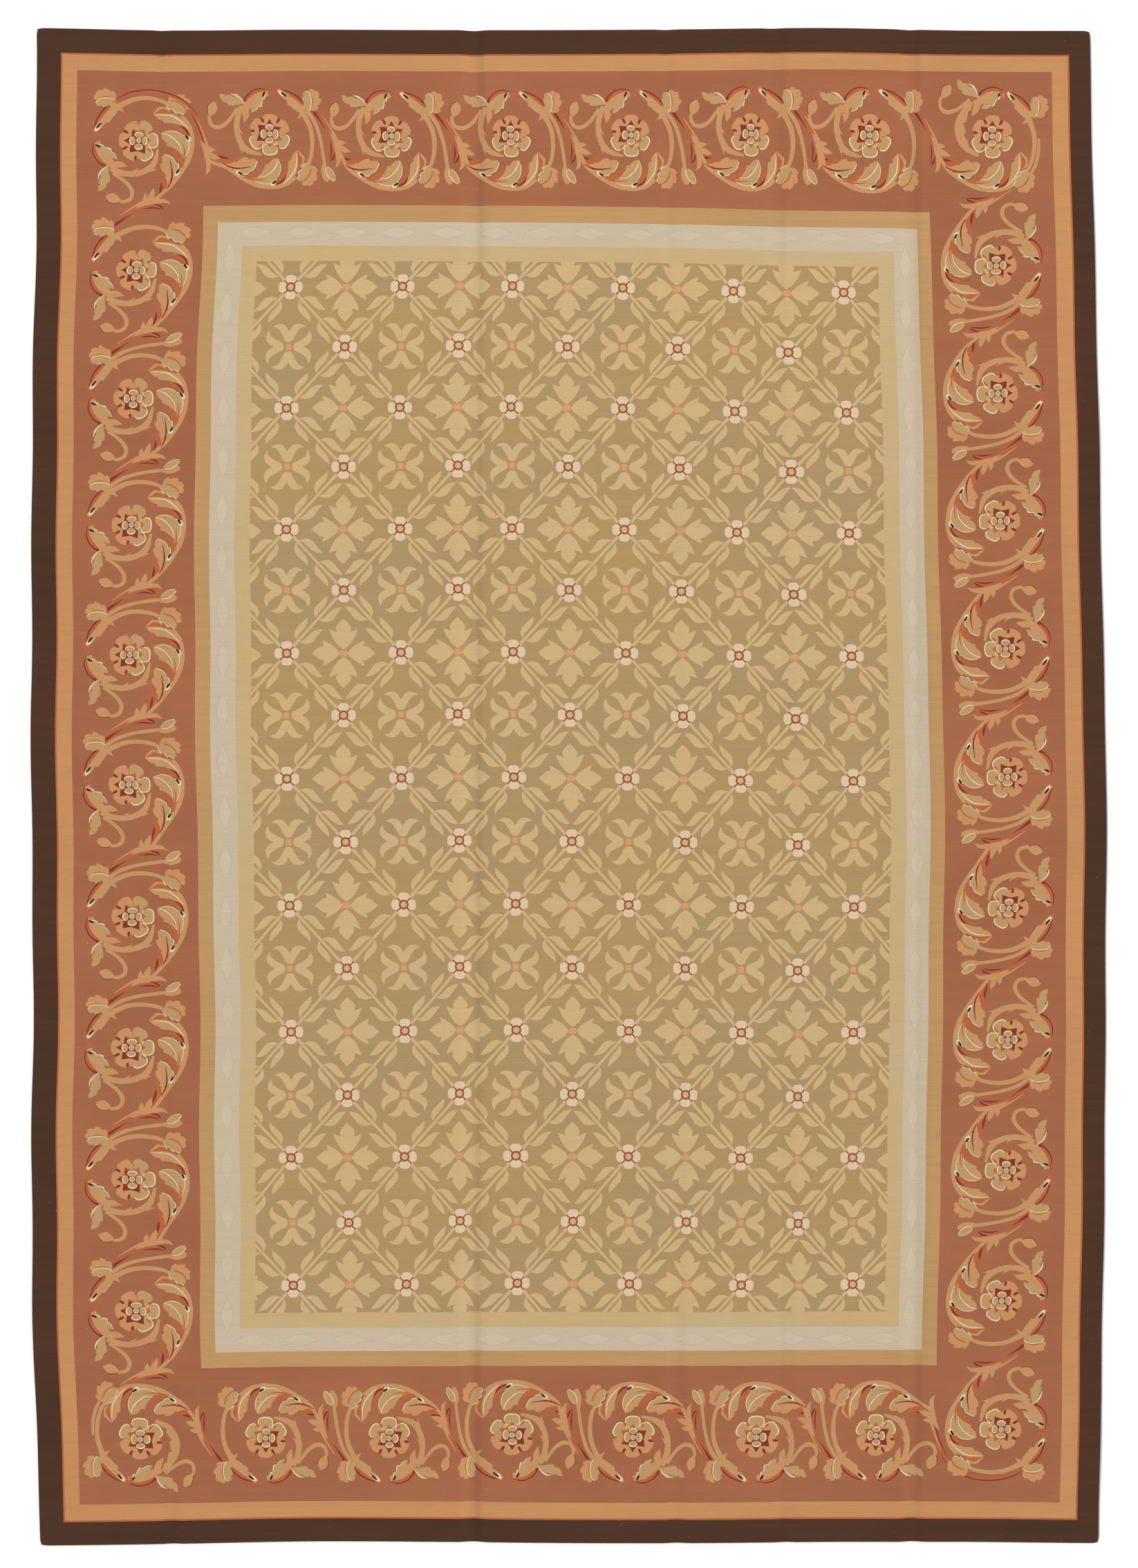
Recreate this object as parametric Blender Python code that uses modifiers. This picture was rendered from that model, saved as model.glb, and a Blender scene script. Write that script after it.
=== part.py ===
"""A flat-woven aubusson rug lying on a floor, as one tapestry cloth.

The cloth is a thin sheet with the bowed, slightly wavy outline of a hand-woven piece. Storage
folds have left it with low creases that run along its length, and its long sides ripple a little.
X is the rug's width and Y its length. The underside lies on Z = 0, and the origin is at the
centre of the underside.
"""

import math

import bmesh
import bpy
import numpy as np

# Driving dimensions, in metres
LENGTH = 3.662
HALF_WIDTH = 1.290
THICKNESS = 0.003
CORNER_RADIUS = 0.006

# Woven bands from the outer edge inwards: width along the sides, width along the ends, colour
BANDS = (
    ("edge_brown", 0.057, 0.059, (0.080, 0.036, 0.020)),
    ("apricot", 0.038, 0.039, (0.578, 0.280, 0.112)),
    ("rust_border", 0.303, 0.331, (0.386, 0.140, 0.067)),
    ("ochre", 0.038, 0.039, (0.539, 0.323, 0.133)),
    ("ivory", 0.060, 0.057, (0.631, 0.540, 0.402)),
    ("straw", 0.037, 0.037, (0.631, 0.456, 0.216)),
)
FIELD = ("olive_field", (0.445, 0.305, 0.138))

# How far each long side bows outwards, from the lower end to the upper end in equal steps
SIDE_BOW = (
    # left, right
    (-0.014, -0.006),
    (0.003, 0.001),
    (0.008, 0.008),
    (0.004, 0.010),
    (0.009, 0.012),
    (0.008, 0.002),
    (0.006, -0.007),
    (-0.003, -0.018),
    (-0.003, -0.028),
)

# How far each end bows outwards, from the left side to the right side in equal steps
END_BOW = (
    # lower, upper
    (0.007, 0.004),
    (0.003, -0.002),
    (-0.003, 0.000),
    (-0.002, -0.001),
    (0.001, -0.001),
    (0.001, 0.001),
    (-0.002, 0.004),
    (-0.002, -0.002),
    (0.001, -0.003),
)

# Storage creases along the length: place at the lower and upper end, height, half width of the
# ridge, and how far along the length its height comes and goes
CREASES = (
    # lower x, upper x, height, half width, beat
    (-0.970, -0.985, 0.0022, 0.030, 1.10),
    (-0.236, -0.218, 0.0045, 0.038, 1.75),
    (0.262, 0.250, 0.0024, 0.032, 0.95),
    (0.528, 0.512, 0.0020, 0.030, 1.30),
    (0.834, 0.846, 0.0030, 0.034, 1.45),
)
CREASE_STEADY = 0.72
CREASE_FADE = 0.25
CREASE_TURN = 1.9
CREASE_PULL_REACH = 3.0
CREASE_DRAW = 0.6

# Ripples where the woven edge is a little longer than the cloth inside it
RIPPLE_HEIGHT = 0.0035
RIPPLE_REACH = 0.19
RIPPLE_LENGTH = {"left": 0.71, "right": 0.83, "lower": 0.97, "upper": 0.66}
RIPPLE_TURN = 1.3
RIPPLE_STEADY = 0.6
RIPPLE_BEAT = 2.7
RIPPLE_SHARPNESS = 1.5

# The rim bows out past the straight lines between the corners. That slack curls up a little, and
# the tips of the corners lie down on the floor.
CURL_HEIGHT = 0.0020
CURL_REACH = 0.060
CORNER_HOLD = 0.018

# Small waver of the long sides, and the share of it that the right side has
EDGE_WAVER = 0.0016
EDGE_WAVER_LENGTH = 0.47
RIGHT_WAVER = 0.6

# Spacing of the sheet's lines where the cloth lies plain
LONG_STEP = 0.115
CROSS_STEP = 0.150
NEAREST_LINES = 0.011


def smooth(value):
    """Rise from 0 to 1 with level ends."""
    value = min(max(value, 0.0), 1.0)
    return value * value * (3.0 - 2.0 * value)


def read_rows(rows, column, share):
    """Value of a table column at a share of the way down its rows, along a smooth curve."""
    place = min(max(share, 0.0), 1.0) * (len(rows) - 1)
    row = min(int(place), len(rows) - 2)
    start = rows[row][column]
    end = rows[row + 1][column]
    before = rows[max(row - 1, 0)][column]
    after = rows[min(row + 2, len(rows) - 1)][column]
    part = place - row
    slope_in = (end - before) / 2.0
    slope_out = (after - start) / 2.0
    square = part * part
    cube = square * part
    return (
        (2.0 * cube - 3.0 * square + 1.0) * start
        + (cube - 2.0 * square + part) * slope_in
        + (3.0 * square - 2.0 * cube) * end
        + (cube - square) * slope_out
    )


def spaced_lines(low, high, step, fixed):
    """Sorted line places from low to high: the fixed ones, filled in where they are far apart."""
    lines = [low]
    for place in sorted(fixed) + [high]:
        if place - lines[-1] < NEAREST_LINES:
            continue
        gap = place - lines[-1]
        count = max(1, math.ceil(gap / step))
        start = lines[-1]
        for number in range(1, count + 1):
            lines.append(start + gap * number / count)
    lines[-1] = high
    return lines


def band_lines(half_size, column):
    """Places of the band joins on both sides of the middle."""
    joins = []
    depth = 0.0
    for band in BANDS:
        depth += band[column]
        joins.append(half_size - depth)
        joins.append(depth - half_size)
    return joins


def crease_lines():
    """Places across the width of each crease's crest, flanks and feet."""
    lines = []
    for lower_x, upper_x, _, half_width, _ in CREASES:
        middle = (lower_x + upper_x) / 2.0
        for share in (-1.0, -0.5, 0.0, 0.5, 1.0):
            lines.append(middle + share * half_width)
    return lines


def cross_places():
    """Places of the lines that run along the length. Creases keep theirs, and joins fit round."""
    half_creases = crease_lines()
    joins = []
    for place in band_lines(HALF_WIDTH, 1):
        if all(abs(place - other) > NEAREST_LINES for other in half_creases):
            joins.append(place)
    return spaced_lines(-HALF_WIDTH, HALF_WIDTH, LONG_STEP, half_creases + joins)


def long_places():
    """Places of the lines that run across the width."""
    half_length = LENGTH / 2.0
    return spaced_lines(-half_length, half_length, CROSS_STEP, band_lines(half_length, 2))


def round_corner(x, y):
    """Draw a point near a corner inwards, so that the corner turns on its radius."""
    inner_x = HALF_WIDTH - CORNER_RADIUS
    inner_y = LENGTH / 2.0 - CORNER_RADIUS
    past_x = abs(x) - inner_x
    past_y = abs(y) - inner_y
    if past_x <= 0.0 or past_y <= 0.0:
        return x, y
    keep = max(past_x, past_y) / math.hypot(past_x, past_y)
    return (
        math.copysign(inner_x + past_x * keep, x),
        math.copysign(inner_y + past_y * keep, y),
    )


def bowed(x, y):
    """Carry a point of the straight rug to its place within the bowed outline."""
    across = (x + HALF_WIDTH) / (2.0 * HALF_WIDTH)
    along = (y + LENGTH / 2.0) / LENGTH
    waver = EDGE_WAVER * math.sin(math.tau * y / EDGE_WAVER_LENGTH)
    left = read_rows(SIDE_BOW, 0, along) + waver
    right = read_rows(SIDE_BOW, 1, along) - RIGHT_WAVER * waver
    lower = read_rows(END_BOW, 0, across)
    upper = read_rows(END_BOW, 1, across)
    return (
        x + right * across - left * (1.0 - across),
        y + upper * along - lower * (1.0 - along),
    )


def crease_lift(x, y):
    """Height of the storage creases at a point of the straight rug."""
    lift = 0.0
    along = (y + LENGTH / 2.0) / LENGTH
    for number, (lower_x, upper_x, height, half_width, beat) in enumerate(CREASES):
        middle = (lower_x + upper_x) / 2.0
        share = 1.0 - abs(x - middle) / half_width
        come_and_go = math.sin(math.tau * y / beat + CREASE_TURN * number)
        strength = CREASE_STEADY + (1.0 - CREASE_STEADY) * come_and_go
        fade = 1.0 - CREASE_FADE * along
        lift = max(lift, height * strength * fade * smooth(share))
    return lift


def crease_pull(x, y):
    """How far the creases move a point of the sheet: sideways as they lean, and inwards."""
    sideways = 0.0
    inwards = 0.0
    for lower_x, upper_x, height, half_width, _ in CREASES:
        distance = abs(x - (lower_x + upper_x) / 2.0)
        near = smooth(1.0 - distance / (CREASE_PULL_REACH * half_width))
        sideways += near * (upper_x - lower_x) * y / LENGTH
        crest = smooth(1.0 - distance / half_width)
        inwards += crest * CREASE_DRAW * height * 2.0 * y / LENGTH
    return sideways, -inwards


def edge_ripple(x, y):
    """Height of the low ripples beside each edge. The cloth inside them lies flat."""
    half_length = LENGTH / 2.0
    depths = {
        "left": x + HALF_WIDTH,
        "right": HALF_WIDTH - x,
        "lower": y + half_length,
        "upper": half_length - y,
    }
    lift = 0.0
    for number, (side, depth) in enumerate(depths.items()):
        run = y if side in ("left", "right") else x
        near = smooth(1.0 - depth / RIPPLE_REACH)
        turns = math.tau * run / RIPPLE_LENGTH[side]
        wave = max(0.0, math.sin(turns + RIPPLE_TURN * number)) ** RIPPLE_SHARPNESS
        swell = RIPPLE_STEADY + (1.0 - RIPPLE_STEADY) * math.sin(turns / RIPPLE_BEAT)
        lift = max(lift, RIPPLE_HEIGHT * near * swell * wave)
    return lift


def corner_tips():
    """The four corners' tips on the floor, in order round the rug."""
    half_length = LENGTH / 2.0
    tips = []
    for side_x, side_y in ((-1, -1), (1, -1), (1, 1), (-1, 1)):
        tips.append(bowed(*round_corner(side_x * HALF_WIDTH, side_y * half_length)))
    return tips


def rim_curl(x, y, tips):
    """Height of the curled rim at a point of the bowed rug."""
    depths = []
    for number, (start_x, start_y) in enumerate(tips):
        end_x, end_y = tips[(number + 1) % len(tips)]
        run = math.hypot(end_x - start_x, end_y - start_y)
        cross = (end_x - start_x) * (y - start_y) - (end_y - start_y) * (x - start_x)
        depths.append(cross / run)
    return CURL_HEIGHT * smooth(1.0 - min(depths) / CURL_REACH)


def corner_rise(x, y, tips):
    """Share of its lift that a point of the bowed rug has: none at the tips of the corners."""
    nearest = min(math.hypot(x - tip_x, y - tip_y) for tip_x, tip_y in tips)
    return smooth(nearest / CORNER_HOLD)


def make_material(name, colour):
    """Plain woven wool of one colour."""
    material = bpy.data.materials.new(name)
    material.use_nodes = True
    shader = material.node_tree.nodes["Principled BSDF"]
    shader.inputs["Base Color"].default_value = (*colour, 1.0)
    shader.inputs["Roughness"].default_value = 0.92
    shader.inputs["Metallic"].default_value = 0.0
    material.diffuse_color = (*colour, 1.0)
    return material


def band_at(x, y):
    """Number of the woven band that holds a point, counted from the edge. The field is last."""
    side_depth = HALF_WIDTH - abs(x)
    end_depth = LENGTH / 2.0 - abs(y)
    side_join = 0.0
    end_join = 0.0
    for number, (_, side_width, end_width, _) in enumerate(BANDS):
        side_join += side_width
        end_join += end_width
        if side_depth < side_join or end_depth < end_join:
            return number
    return len(BANDS)


def make_sheet():
    """The underside of the cloth as an open sheet of quads."""
    x_places = cross_places()
    y_places = long_places()
    columns = len(x_places) - 1
    rows = len(y_places) - 1
    sheet = bmesh.new()
    bmesh.ops.create_grid(sheet, x_segments=columns, y_segments=rows, size=0.5)
    for vertex in sheet.verts:
        x = x_places[round((vertex.co.x + 0.5) * columns)]
        y = y_places[round((vertex.co.y + 0.5) * rows)]
        vertex.co = (x, y, 0.0)
    for face in sheet.faces:
        middle = face.calc_center_median()
        face.material_index = band_at(middle.x, middle.y)
    tips = corner_tips()
    for vertex in sheet.verts:
        x, y, _ = vertex.co
        sideways, inwards = crease_pull(x, y)
        place = bowed(*round_corner(x + sideways, y + inwards))
        lift = max(crease_lift(x, y), edge_ripple(x, y), rim_curl(*place, tips))
        vertex.co = (*place, lift * corner_rise(*place, tips))
    places = np.array([vertex.co[:2] for vertex in sheet.verts])
    centre = (places.min(axis=0) + places.max(axis=0)) / 2.0
    for vertex in sheet.verts:
        vertex.co.x -= centre[0]
        vertex.co.y -= centre[1]
    return sheet


def make_rug(collection):
    """The tapestry cloth: its sheet, thickened upwards from the underside."""
    sheet = make_sheet()
    mesh = bpy.data.meshes.new("rug")
    sheet.to_mesh(mesh)
    sheet.free()
    for name, _, _, colour in BANDS:
        mesh.materials.append(make_material(name, colour))
    mesh.materials.append(make_material(*FIELD))
    mesh.shade_smooth()
    rug = bpy.data.objects.new("rug", mesh)
    collection.objects.link(rug)
    cloth = rug.modifiers.new("cloth", "SOLIDIFY")
    cloth.thickness = THICKNESS
    cloth.offset = 1.0
    cloth.use_even_offset = False
    return rug


def main():
    for old in list(bpy.data.objects):
        bpy.data.objects.remove(old, do_unlink=True)
    collection = bpy.data.collections.new("aubusson_rug")
    bpy.context.scene.collection.children.link(collection)
    make_rug(collection)


main()
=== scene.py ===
import math

import bpy
import numpy as np
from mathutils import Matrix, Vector
from mathutils.geometry import delaunay_2d_cdt


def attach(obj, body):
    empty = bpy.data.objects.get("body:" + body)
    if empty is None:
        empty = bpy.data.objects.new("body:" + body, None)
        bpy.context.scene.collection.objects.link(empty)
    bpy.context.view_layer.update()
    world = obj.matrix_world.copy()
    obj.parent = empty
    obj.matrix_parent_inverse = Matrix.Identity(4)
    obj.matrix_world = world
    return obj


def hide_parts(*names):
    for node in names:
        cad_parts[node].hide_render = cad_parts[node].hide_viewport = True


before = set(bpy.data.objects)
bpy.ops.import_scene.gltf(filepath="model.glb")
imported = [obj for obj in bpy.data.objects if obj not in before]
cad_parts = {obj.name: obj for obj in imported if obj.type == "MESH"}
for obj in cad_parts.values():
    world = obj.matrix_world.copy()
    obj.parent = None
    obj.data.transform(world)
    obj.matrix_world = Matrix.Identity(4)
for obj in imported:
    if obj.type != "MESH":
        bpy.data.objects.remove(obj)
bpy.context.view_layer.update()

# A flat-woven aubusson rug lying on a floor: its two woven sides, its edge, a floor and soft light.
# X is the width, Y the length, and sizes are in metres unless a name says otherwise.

NODE = "rug"
BODY = "root"
MM = 0.001

# Cloth, as in the part's own source
LENGTH = 3.662
HALF_WIDTH = 1.290
HALF_LENGTH = LENGTH / 2.0
THICKNESS = 0.003
CORNER_RADIUS = 0.006

# Woven bands from the outer edge inwards, with their widths along each side and end
BANDS = (
    # yarn, left, right, lower, upper
    ("brown", 0.060, 0.053, 0.057, 0.0595),
    ("apricot", 0.038, 0.041, 0.040, 0.0395),
    ("rust", 0.3005, 0.304, 0.333, 0.329),
    ("ochre", 0.036, 0.0345, 0.037, 0.0405),
    ("ivory", 0.0605, 0.0575, 0.0565, 0.0575),
    ("straw", 0.037, 0.037, 0.037, 0.037),
)

# How far each long side bows outwards, from the lower end to the upper end in equal steps
SIDE_BOW = (
    # left, right
    (-0.014, -0.006),
    (0.003, 0.001),
    (0.008, 0.008),
    (0.004, 0.010),
    (0.009, 0.012),
    (0.008, 0.002),
    (0.006, -0.007),
    (-0.003, -0.018),
    (-0.003, -0.028),
)

# How far each end bows outwards, from the left side to the right side in equal steps
END_BOW = (
    # lower, upper
    (0.007, 0.004),
    (0.003, -0.002),
    (-0.003, 0.000),
    (-0.002, -0.001),
    (0.001, -0.001),
    (0.001, 0.001),
    (-0.002, 0.004),
    (-0.002, -0.002),
    (0.001, -0.003),
)
EDGE_WAVER = 0.0016
EDGE_WAVER_LENGTH = 0.47
RIGHT_WAVER = 0.6

# How far the weaver's inner frame strays to the right along its sides, and upwards along its ends.
# Outside the frame the stray fades.
FRAME_FADE = (0.300, 0.330)
FRAME_SIDE_STRAY = (
    # left, right
    (0.005, 0.003),
    (0.005, 0.006),
    (0.0015, 0.009),
    (-0.003, 0.011),
    (-0.0065, 0.0065),
    (-0.0035, 0.004),
    (0.008, -0.004),
)
FRAME_END_STRAY = (
    # lower, upper
    (-0.007, 0.004),
    (-0.007, 0.004),
    (-0.005, 0.004),
    (-0.0015, 0.0025),
    (-0.002, -0.003),
    (-0.003, -0.013),
    (-0.003, -0.013),
)

# Storage creases along the length, as in the part's own source
CREASES = (
    # lower x, upper x, height, half width, beat
    (-0.970, -0.985, 0.0022, 0.030, 1.10),
    (-0.236, -0.218, 0.0045, 0.038, 1.75),
    (0.262, 0.250, 0.0024, 0.032, 0.95),
    (0.528, 0.512, 0.0020, 0.030, 1.30),
    (0.834, 0.846, 0.0030, 0.034, 1.45),
)
CREASE_STEADY = 0.72
CREASE_FADE = 0.25
CREASE_TURN = 1.9
CREASE_PULL_REACH = 3.0
CREASE_DRAW = 0.6

# Ripples and curl of the rim, as in the part's own source
RIPPLE_HEIGHT = 0.0035
RIPPLE_REACH = 0.19
RIPPLE_LENGTH = {"left": 0.71, "right": 0.83, "lower": 0.97, "upper": 0.66}
RIPPLE_TURN = 1.3
RIPPLE_STEADY = 0.6
RIPPLE_BEAT = 2.7
RIPPLE_SHARPNESS = 1.5
CURL_HEIGHT = 0.0020
CURL_REACH = 0.060
CORNER_HOLD = 0.018

# Spacing of the extra points that let the woven face follow the cloth's shape
REST_STEP = 0.036
EDGE_STEP = 0.0125
CREASE_STEP = 0.024
CREASE_LINES = 9

# Points along each side of the box, how near the points beside a normal's foot are, and the border
# left round an unwrapped panel
BOX_STEPS = 401
NORMAL_REACH = 0.004
UV_MARGIN = 0.004

# Panels that the two woven sides are made in
PANEL_COLUMNS = 2
PANEL_ROWS = 3

# Longest step between points along the outlines of the drawing
OUTLINE_STEP = 0.014

# Field lattice: the columns and rows of the two sets of rosettes, and how far each strays
A_COLUMNS = (
    # x, stray upwards
    (-0.672, -0.001),
    (-0.399, 0.001),
    (-0.131, 0.003),
    (0.139, 0.001),
    (0.409, -0.002),
    (0.678, -0.001),
)
A_ROWS = (
    # y, stray to the right
    (1.206, 0.000),
    (0.914, -0.001),
    (0.621, 0.002),
    (0.322, -0.001),
    (0.019, -0.003),
    (-0.287, -0.001),
    (-0.592, -0.002),
    (-0.896, 0.001),
    (-1.204, 0.006),
)
B_COLUMNS = (
    # x, stray upwards
    (-0.536, -0.001),
    (-0.264, 0.003),
    (0.004, 0.001),
    (0.274, 0.000),
    (0.543, -0.004),
)
B_ROWS = (
    # y, stray to the right
    (1.062, 0.002),
    (0.772, 0.001),
    (0.474, 0.002),
    (0.172, -0.001),
    (-0.134, -0.003),
    (-0.439, -0.002),
    (-0.745, 0.000),
    (-1.053, 0.002),
)
NEXT_REACH = 0.28

# White rosette, in millimetres
PETAL_OUT = 19.2
PETAL_LONG = 13.0
PETAL_DEEP = 10.2
PETAL_LINE = (
    # distance out, width
    (9.6, 4.4),
    (16, 3.4),
    (23, 2.6),
)
RING_OUTER = 12.0
RING_INNER = 7.6

# How far a stem stays off both rosettes, and how wide it is at its ends and its middle
STEM_GAP = 22
STEM_WIDTHS = (7.2, 6.2)

# How far out on a stem the two pairs of leaves start, and the leaves, in millimetres
LEAF_STARTS = (40.0, 111.0)
OUTER_LEAF = (
    [(0, 4), (7, 18), (21, 27), (41, 26), (61, 25)],
    [(61, 25), (50, 15), (35, 10), (14, 9), (0, 4)],
)
INNER_LEAF = (
    [(0, -4), (4, -15), (17, -23), (37, -23), (58, -21)],
    [(58, -21), (48, -13), (33, -9), (12, -9), (0, -4)],
)

# Half sides of the small square in the middle of each cross, in millimetres
LEAF_SQUARE = (8.5, 7.0)
HORN_SQUARE = (6.5, 7.2)

# Half petals of the two crosses: outwards along the petal, and to its side, in millimetres
LONG_PETAL = (
    [(0, 9), (14, 20), (27, 39), (34, 58)],
    [(34, 58), (25, 54), (15, 51)],
    [(15, 51), (18, 62), (11, 73), (0, 84)],
)
BROAD_PETAL = (
    [(0, 9), (13, 20), (24, 36), (31, 50)],
    [(31, 50), (25, 49), (18, 46)],
    [(18, 46), (15, 58), (0, 76)],
)
HORN_PETAL = (
    [(0, 11), (9, 15), (16, 29), (27, 44), (40, 48)],
    [(40, 49), (27, 55), (13, 53), (5, 45), (0, 36)],
)

# Places of the border's rosettes along each side, in the order that the scroll grows
CHAINS = (
    ("left", 0.0, (
        (-1.042, 1.563), (-1.048, 1.250), (-1.045, 0.940), (-1.046, 0.634), (-1.053, 0.321),
        (-1.055, 0.007), (-1.051, -0.311), (-1.056, -0.628), (-1.052, -0.946), (-1.044, -1.264),
    )),
    ("lower", 90.0, (
        (-1.045, -1.575), (-0.739, -1.577), (-0.439, -1.579), (-0.139, -1.570), (0.153, -1.575),
        (0.452, -1.576), (0.744, -1.574),
    )),
    ("right", 180.0, (
        (1.048, -1.558), (1.047, -1.246), (1.052, -0.929), (1.052, -0.612), (1.054, -0.292),
        (1.050, 0.026), (1.051, 0.338), (1.047, 0.648), (1.047, 0.958), (1.051, 1.268),
    )),
    ("upper", 270.0, (
        (1.051, 1.582), (0.750, 1.580), (0.461, 1.581), (0.165, 1.577), (-0.131, 1.575),
        (-0.423, 1.573), (-0.722, 1.578),
    )),
)

# How far the arch and the lower leaves are turned round two of the corner rosettes, in degrees
CORNER_TURNS = (-8.0, -18.0)

# Border motifs: how deep leaf teeth are cut, and how wide cream lines and red outlines are, in
# millimetres
TOOTH_CUT = 0.45
CREAM_LINE = 2.1
INNER_LINE = 1.7
OUTLINE_LINE = 1.3

# Dark eye between leaves and the cream drop under it, in millimetres and degrees
EYE_DEEP = 2.9
DROP_DEEP = 5.2
DROP_LEAN = 6.0

# Big rosette, in millimetres and degrees. Its lobes and its fan of gold have pairs of an angle and
# a distance out. The heart of a pale lobe lies nearer the middle, as that of an inner petal does.
ROSETTE_DISC = 39.0
LOBE_SIZE = (15.0, 19.0)
LOBE_SQUARE = 0.75
ROSETTE_PALE = ((60, 37), (0, 38), (300, 39))
ROSETTE_BRIGHT = ((118, 34), (180, 34), (238, 37))
PALE_HEART_PULL = 0.8
ROSETTE_FAN = [(94 + 14 * step, 37) for step in range(13)]
ROSETTE_PATCHES = (
    # yarn, across, up, half width, half height, turn
    ("khaki", 17, -27, 18, 12, -28),
    ("gold", -5, -36, 16, 9, 0),
)
STAR_POINTS = 6
STAR_SIZE = (33, 22)
INNER_RIM = 1.2
INNER_HEART_SHARE = 0.92
ROSETTE_NICKS = (
    # yarn, angle, distance out, half length, half width
    ("rust", 90, 45, 8.0, 3.2),
    ("dark_red", 147, 38, 7.0, 3.4),
    ("dark_red", 208, 38, 7.0, 3.4),
    ("dark_red", 259, 43, 6.0, 3.4),
    ("terracotta", 31, 37, 6.5, 3.2),
    ("terracotta", 321, 37, 7.0, 2.8),
)
ROSETTE_STAR = (
    # angle, distance out
    (120, 31), (150, 20), (180, 37), (206, 23), (232, 37), (263, 26), (298, 37), (323, 20), (60, 8),
)
ROSETTE_INNER = (
    # across, up, half width, half height
    (1.0, 14.0, 12.3, 7.2),
    (-16.2, -1.0, 7.6, 10.2),
    (16.2, -1.0, 7.6, 10.2),
    (0.0, -15.5, 11.0, 7.8),
)
ROSETTE_RINGS = (
    # yarn, half width
    ("line_brown", 7.8),
    ("cream", 6.2),
    ("khaki", 4.4),
    ("line_brown", 2.6),
    ("cream", 1.6),
)

# Faint lozenges in the ivory band: their pitch, their two layers, and how wide they are half way
# to a tip
LOZENGE_PITCH = 0.119
LOZENGE_LAYERS = (
    # yarn, half length, half width, in millimetres
    ("guard_line", 44.0, 15.5),
    ("guard_pale", 41.0, 13.5),
)
LOZENGE_SHOULDER = 0.62

# Outlines: how far a point may lie off a straight run that it is dropped from, the longest such
# run, and how near two points are when they are one
STRAIGHT_SLACK = 0.00014
STRAIGHT_RUN = 0.05
SAME_PLACE = 1e-9
MERGE_REACH = 1e-7

# Rounded wall at the edge
RIM_STEPS = 6
RIM_BULGE = 0.0008

# Yarns: screen colour, the tone it drifts to in patches, how strong its streaks are, and how far
# it drifts
YARNS = {
    "brown": ((80, 50, 35), (69, 48, 30), 0.09, 0.6),
    "apricot": ((202, 144, 93), (195, 138, 91), 0.045, 0.7),
    "rust": ((169, 105, 72), (161, 98, 68), 0.035, 0.8),
    "ochre": ((193, 149, 99), (187, 146, 95), 0.05, 0.8),
    "ivory": ((205, 184, 160), (199, 184, 153), 0.02, 0.9),
    "straw": ((202, 171, 123), (200, 175, 131), 0.025, 0.9),
    "olive": ((179, 145, 98), (173, 145, 103), 0.03, 0.9),
    "motif_gold": ((208, 175, 126), (205, 176, 131), 0.025, 0.8),
    "petal_white": ((222, 198, 162), (218, 197, 166), 0.02, 0.5),
    "line_red": ((158, 86, 50), (150, 84, 52), 0.02, 0.5),
    "centre_tan": ((209, 174, 126), (206, 173, 128), 0.02, 0.5),
    "orange": ((216, 156, 106), (212, 154, 108), 0.02, 0.5),
    "gold": ((201, 144, 96), (199, 146, 99), 0.02, 0.7),
    "khaki": ((191, 150, 101), (189, 151, 104), 0.02, 0.7),
    "cream": ((227, 209, 168), (224, 208, 170), 0.02, 0.5),
    "terracotta": ((186, 98, 58), (182, 100, 62), 0.02, 0.6),
    "dark_red": ((139, 48, 38), (136, 52, 40), 0.03, 0.6),
    "line_brown": ((134, 74, 48), (130, 76, 50), 0.02, 0.5),
    "eye": ((46, 40, 31), (50, 42, 34), 0.02, 0.5),
    "guard_line": ((196, 178, 153), (193, 178, 150), 0.02, 0.9),
    "guard_pale": ((208, 189, 164), (204, 188, 158), 0.02, 0.9),
}
JOIN_LINE = 0.004

# Wool's noises: scale along X, Y and Z, detail, and roughness
PATCH_NOISE = ((2.2, 3.4, 1.0), 3.0, 0.6)
STREAK_NOISE = ((1.3, 62.0, 1.0), 3.0, 0.65)
PICK_NOISE = ((16.0, 420.0, 1.0), 2.0, 0.7)
GRAIN_NOISE = ((330.0, 700.0, 1.0), 1.0, 0.5)
LINT_NOISE = ((210.0, 150.0, 1.0), 1.0, 0.4)
YARN_SHIFT = (3.7, 1.3)
LINT_START = (7.1, 2.3, 0.0)

# The part of each noise that counts, then for some the share of light that its two ends give
PATCH_SPAN = (0.38, 0.62)
STREAK_SPAN = (0.28, 0.72)
PICK_LIGHT = (0.3, 0.7, 0.955, 1.045)
GRAIN_LIGHT = (0.3, 0.7, 0.94, 1.06)
RIB_LIGHT = (0.0, 1.0, 0.955, 1.02)
LINT_SPAN = (0.80, 0.84)
LINT_SHARE = 0.35
LINT_COLOUR = (226, 214, 192)

# Wool's ribs over the warps, its relief and its sheen, by the names of the shader's own sockets
WARP_PITCH = 0.0032
RIBS = {
    "Scale": math.tau / (20.0 * WARP_PITCH),
    "Distortion": 0.8,
    "Detail": 1.0,
    "Detail Scale": 0.06,
}
RIB_HEIGHT = 0.7
PICK_HEIGHT = 0.9
RELIEF = {"Strength": 0.55, "Distance": 0.0006}
WOOL_SHEEN = {
    "Roughness": 0.92,
    "Specular IOR Level": 0.18,
    "Sheen Weight": 0.06,
    "Sheen Roughness": 0.5,
}

# Darker lines along the creases on the laid rug: painted crease shade, with some worn nap
CREASE_SHADE_AND_WEAR = (
    # place at the lower end, place at the upper end, share of light lost
    (-0.976, -0.984, 0.03),
    (-0.222, -0.211, 0.10),
    (0.520, 0.518, 0.04),
    (0.848, 0.846, 0.06),
)
CREASE_SHADE_REACH = 0.012

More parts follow.
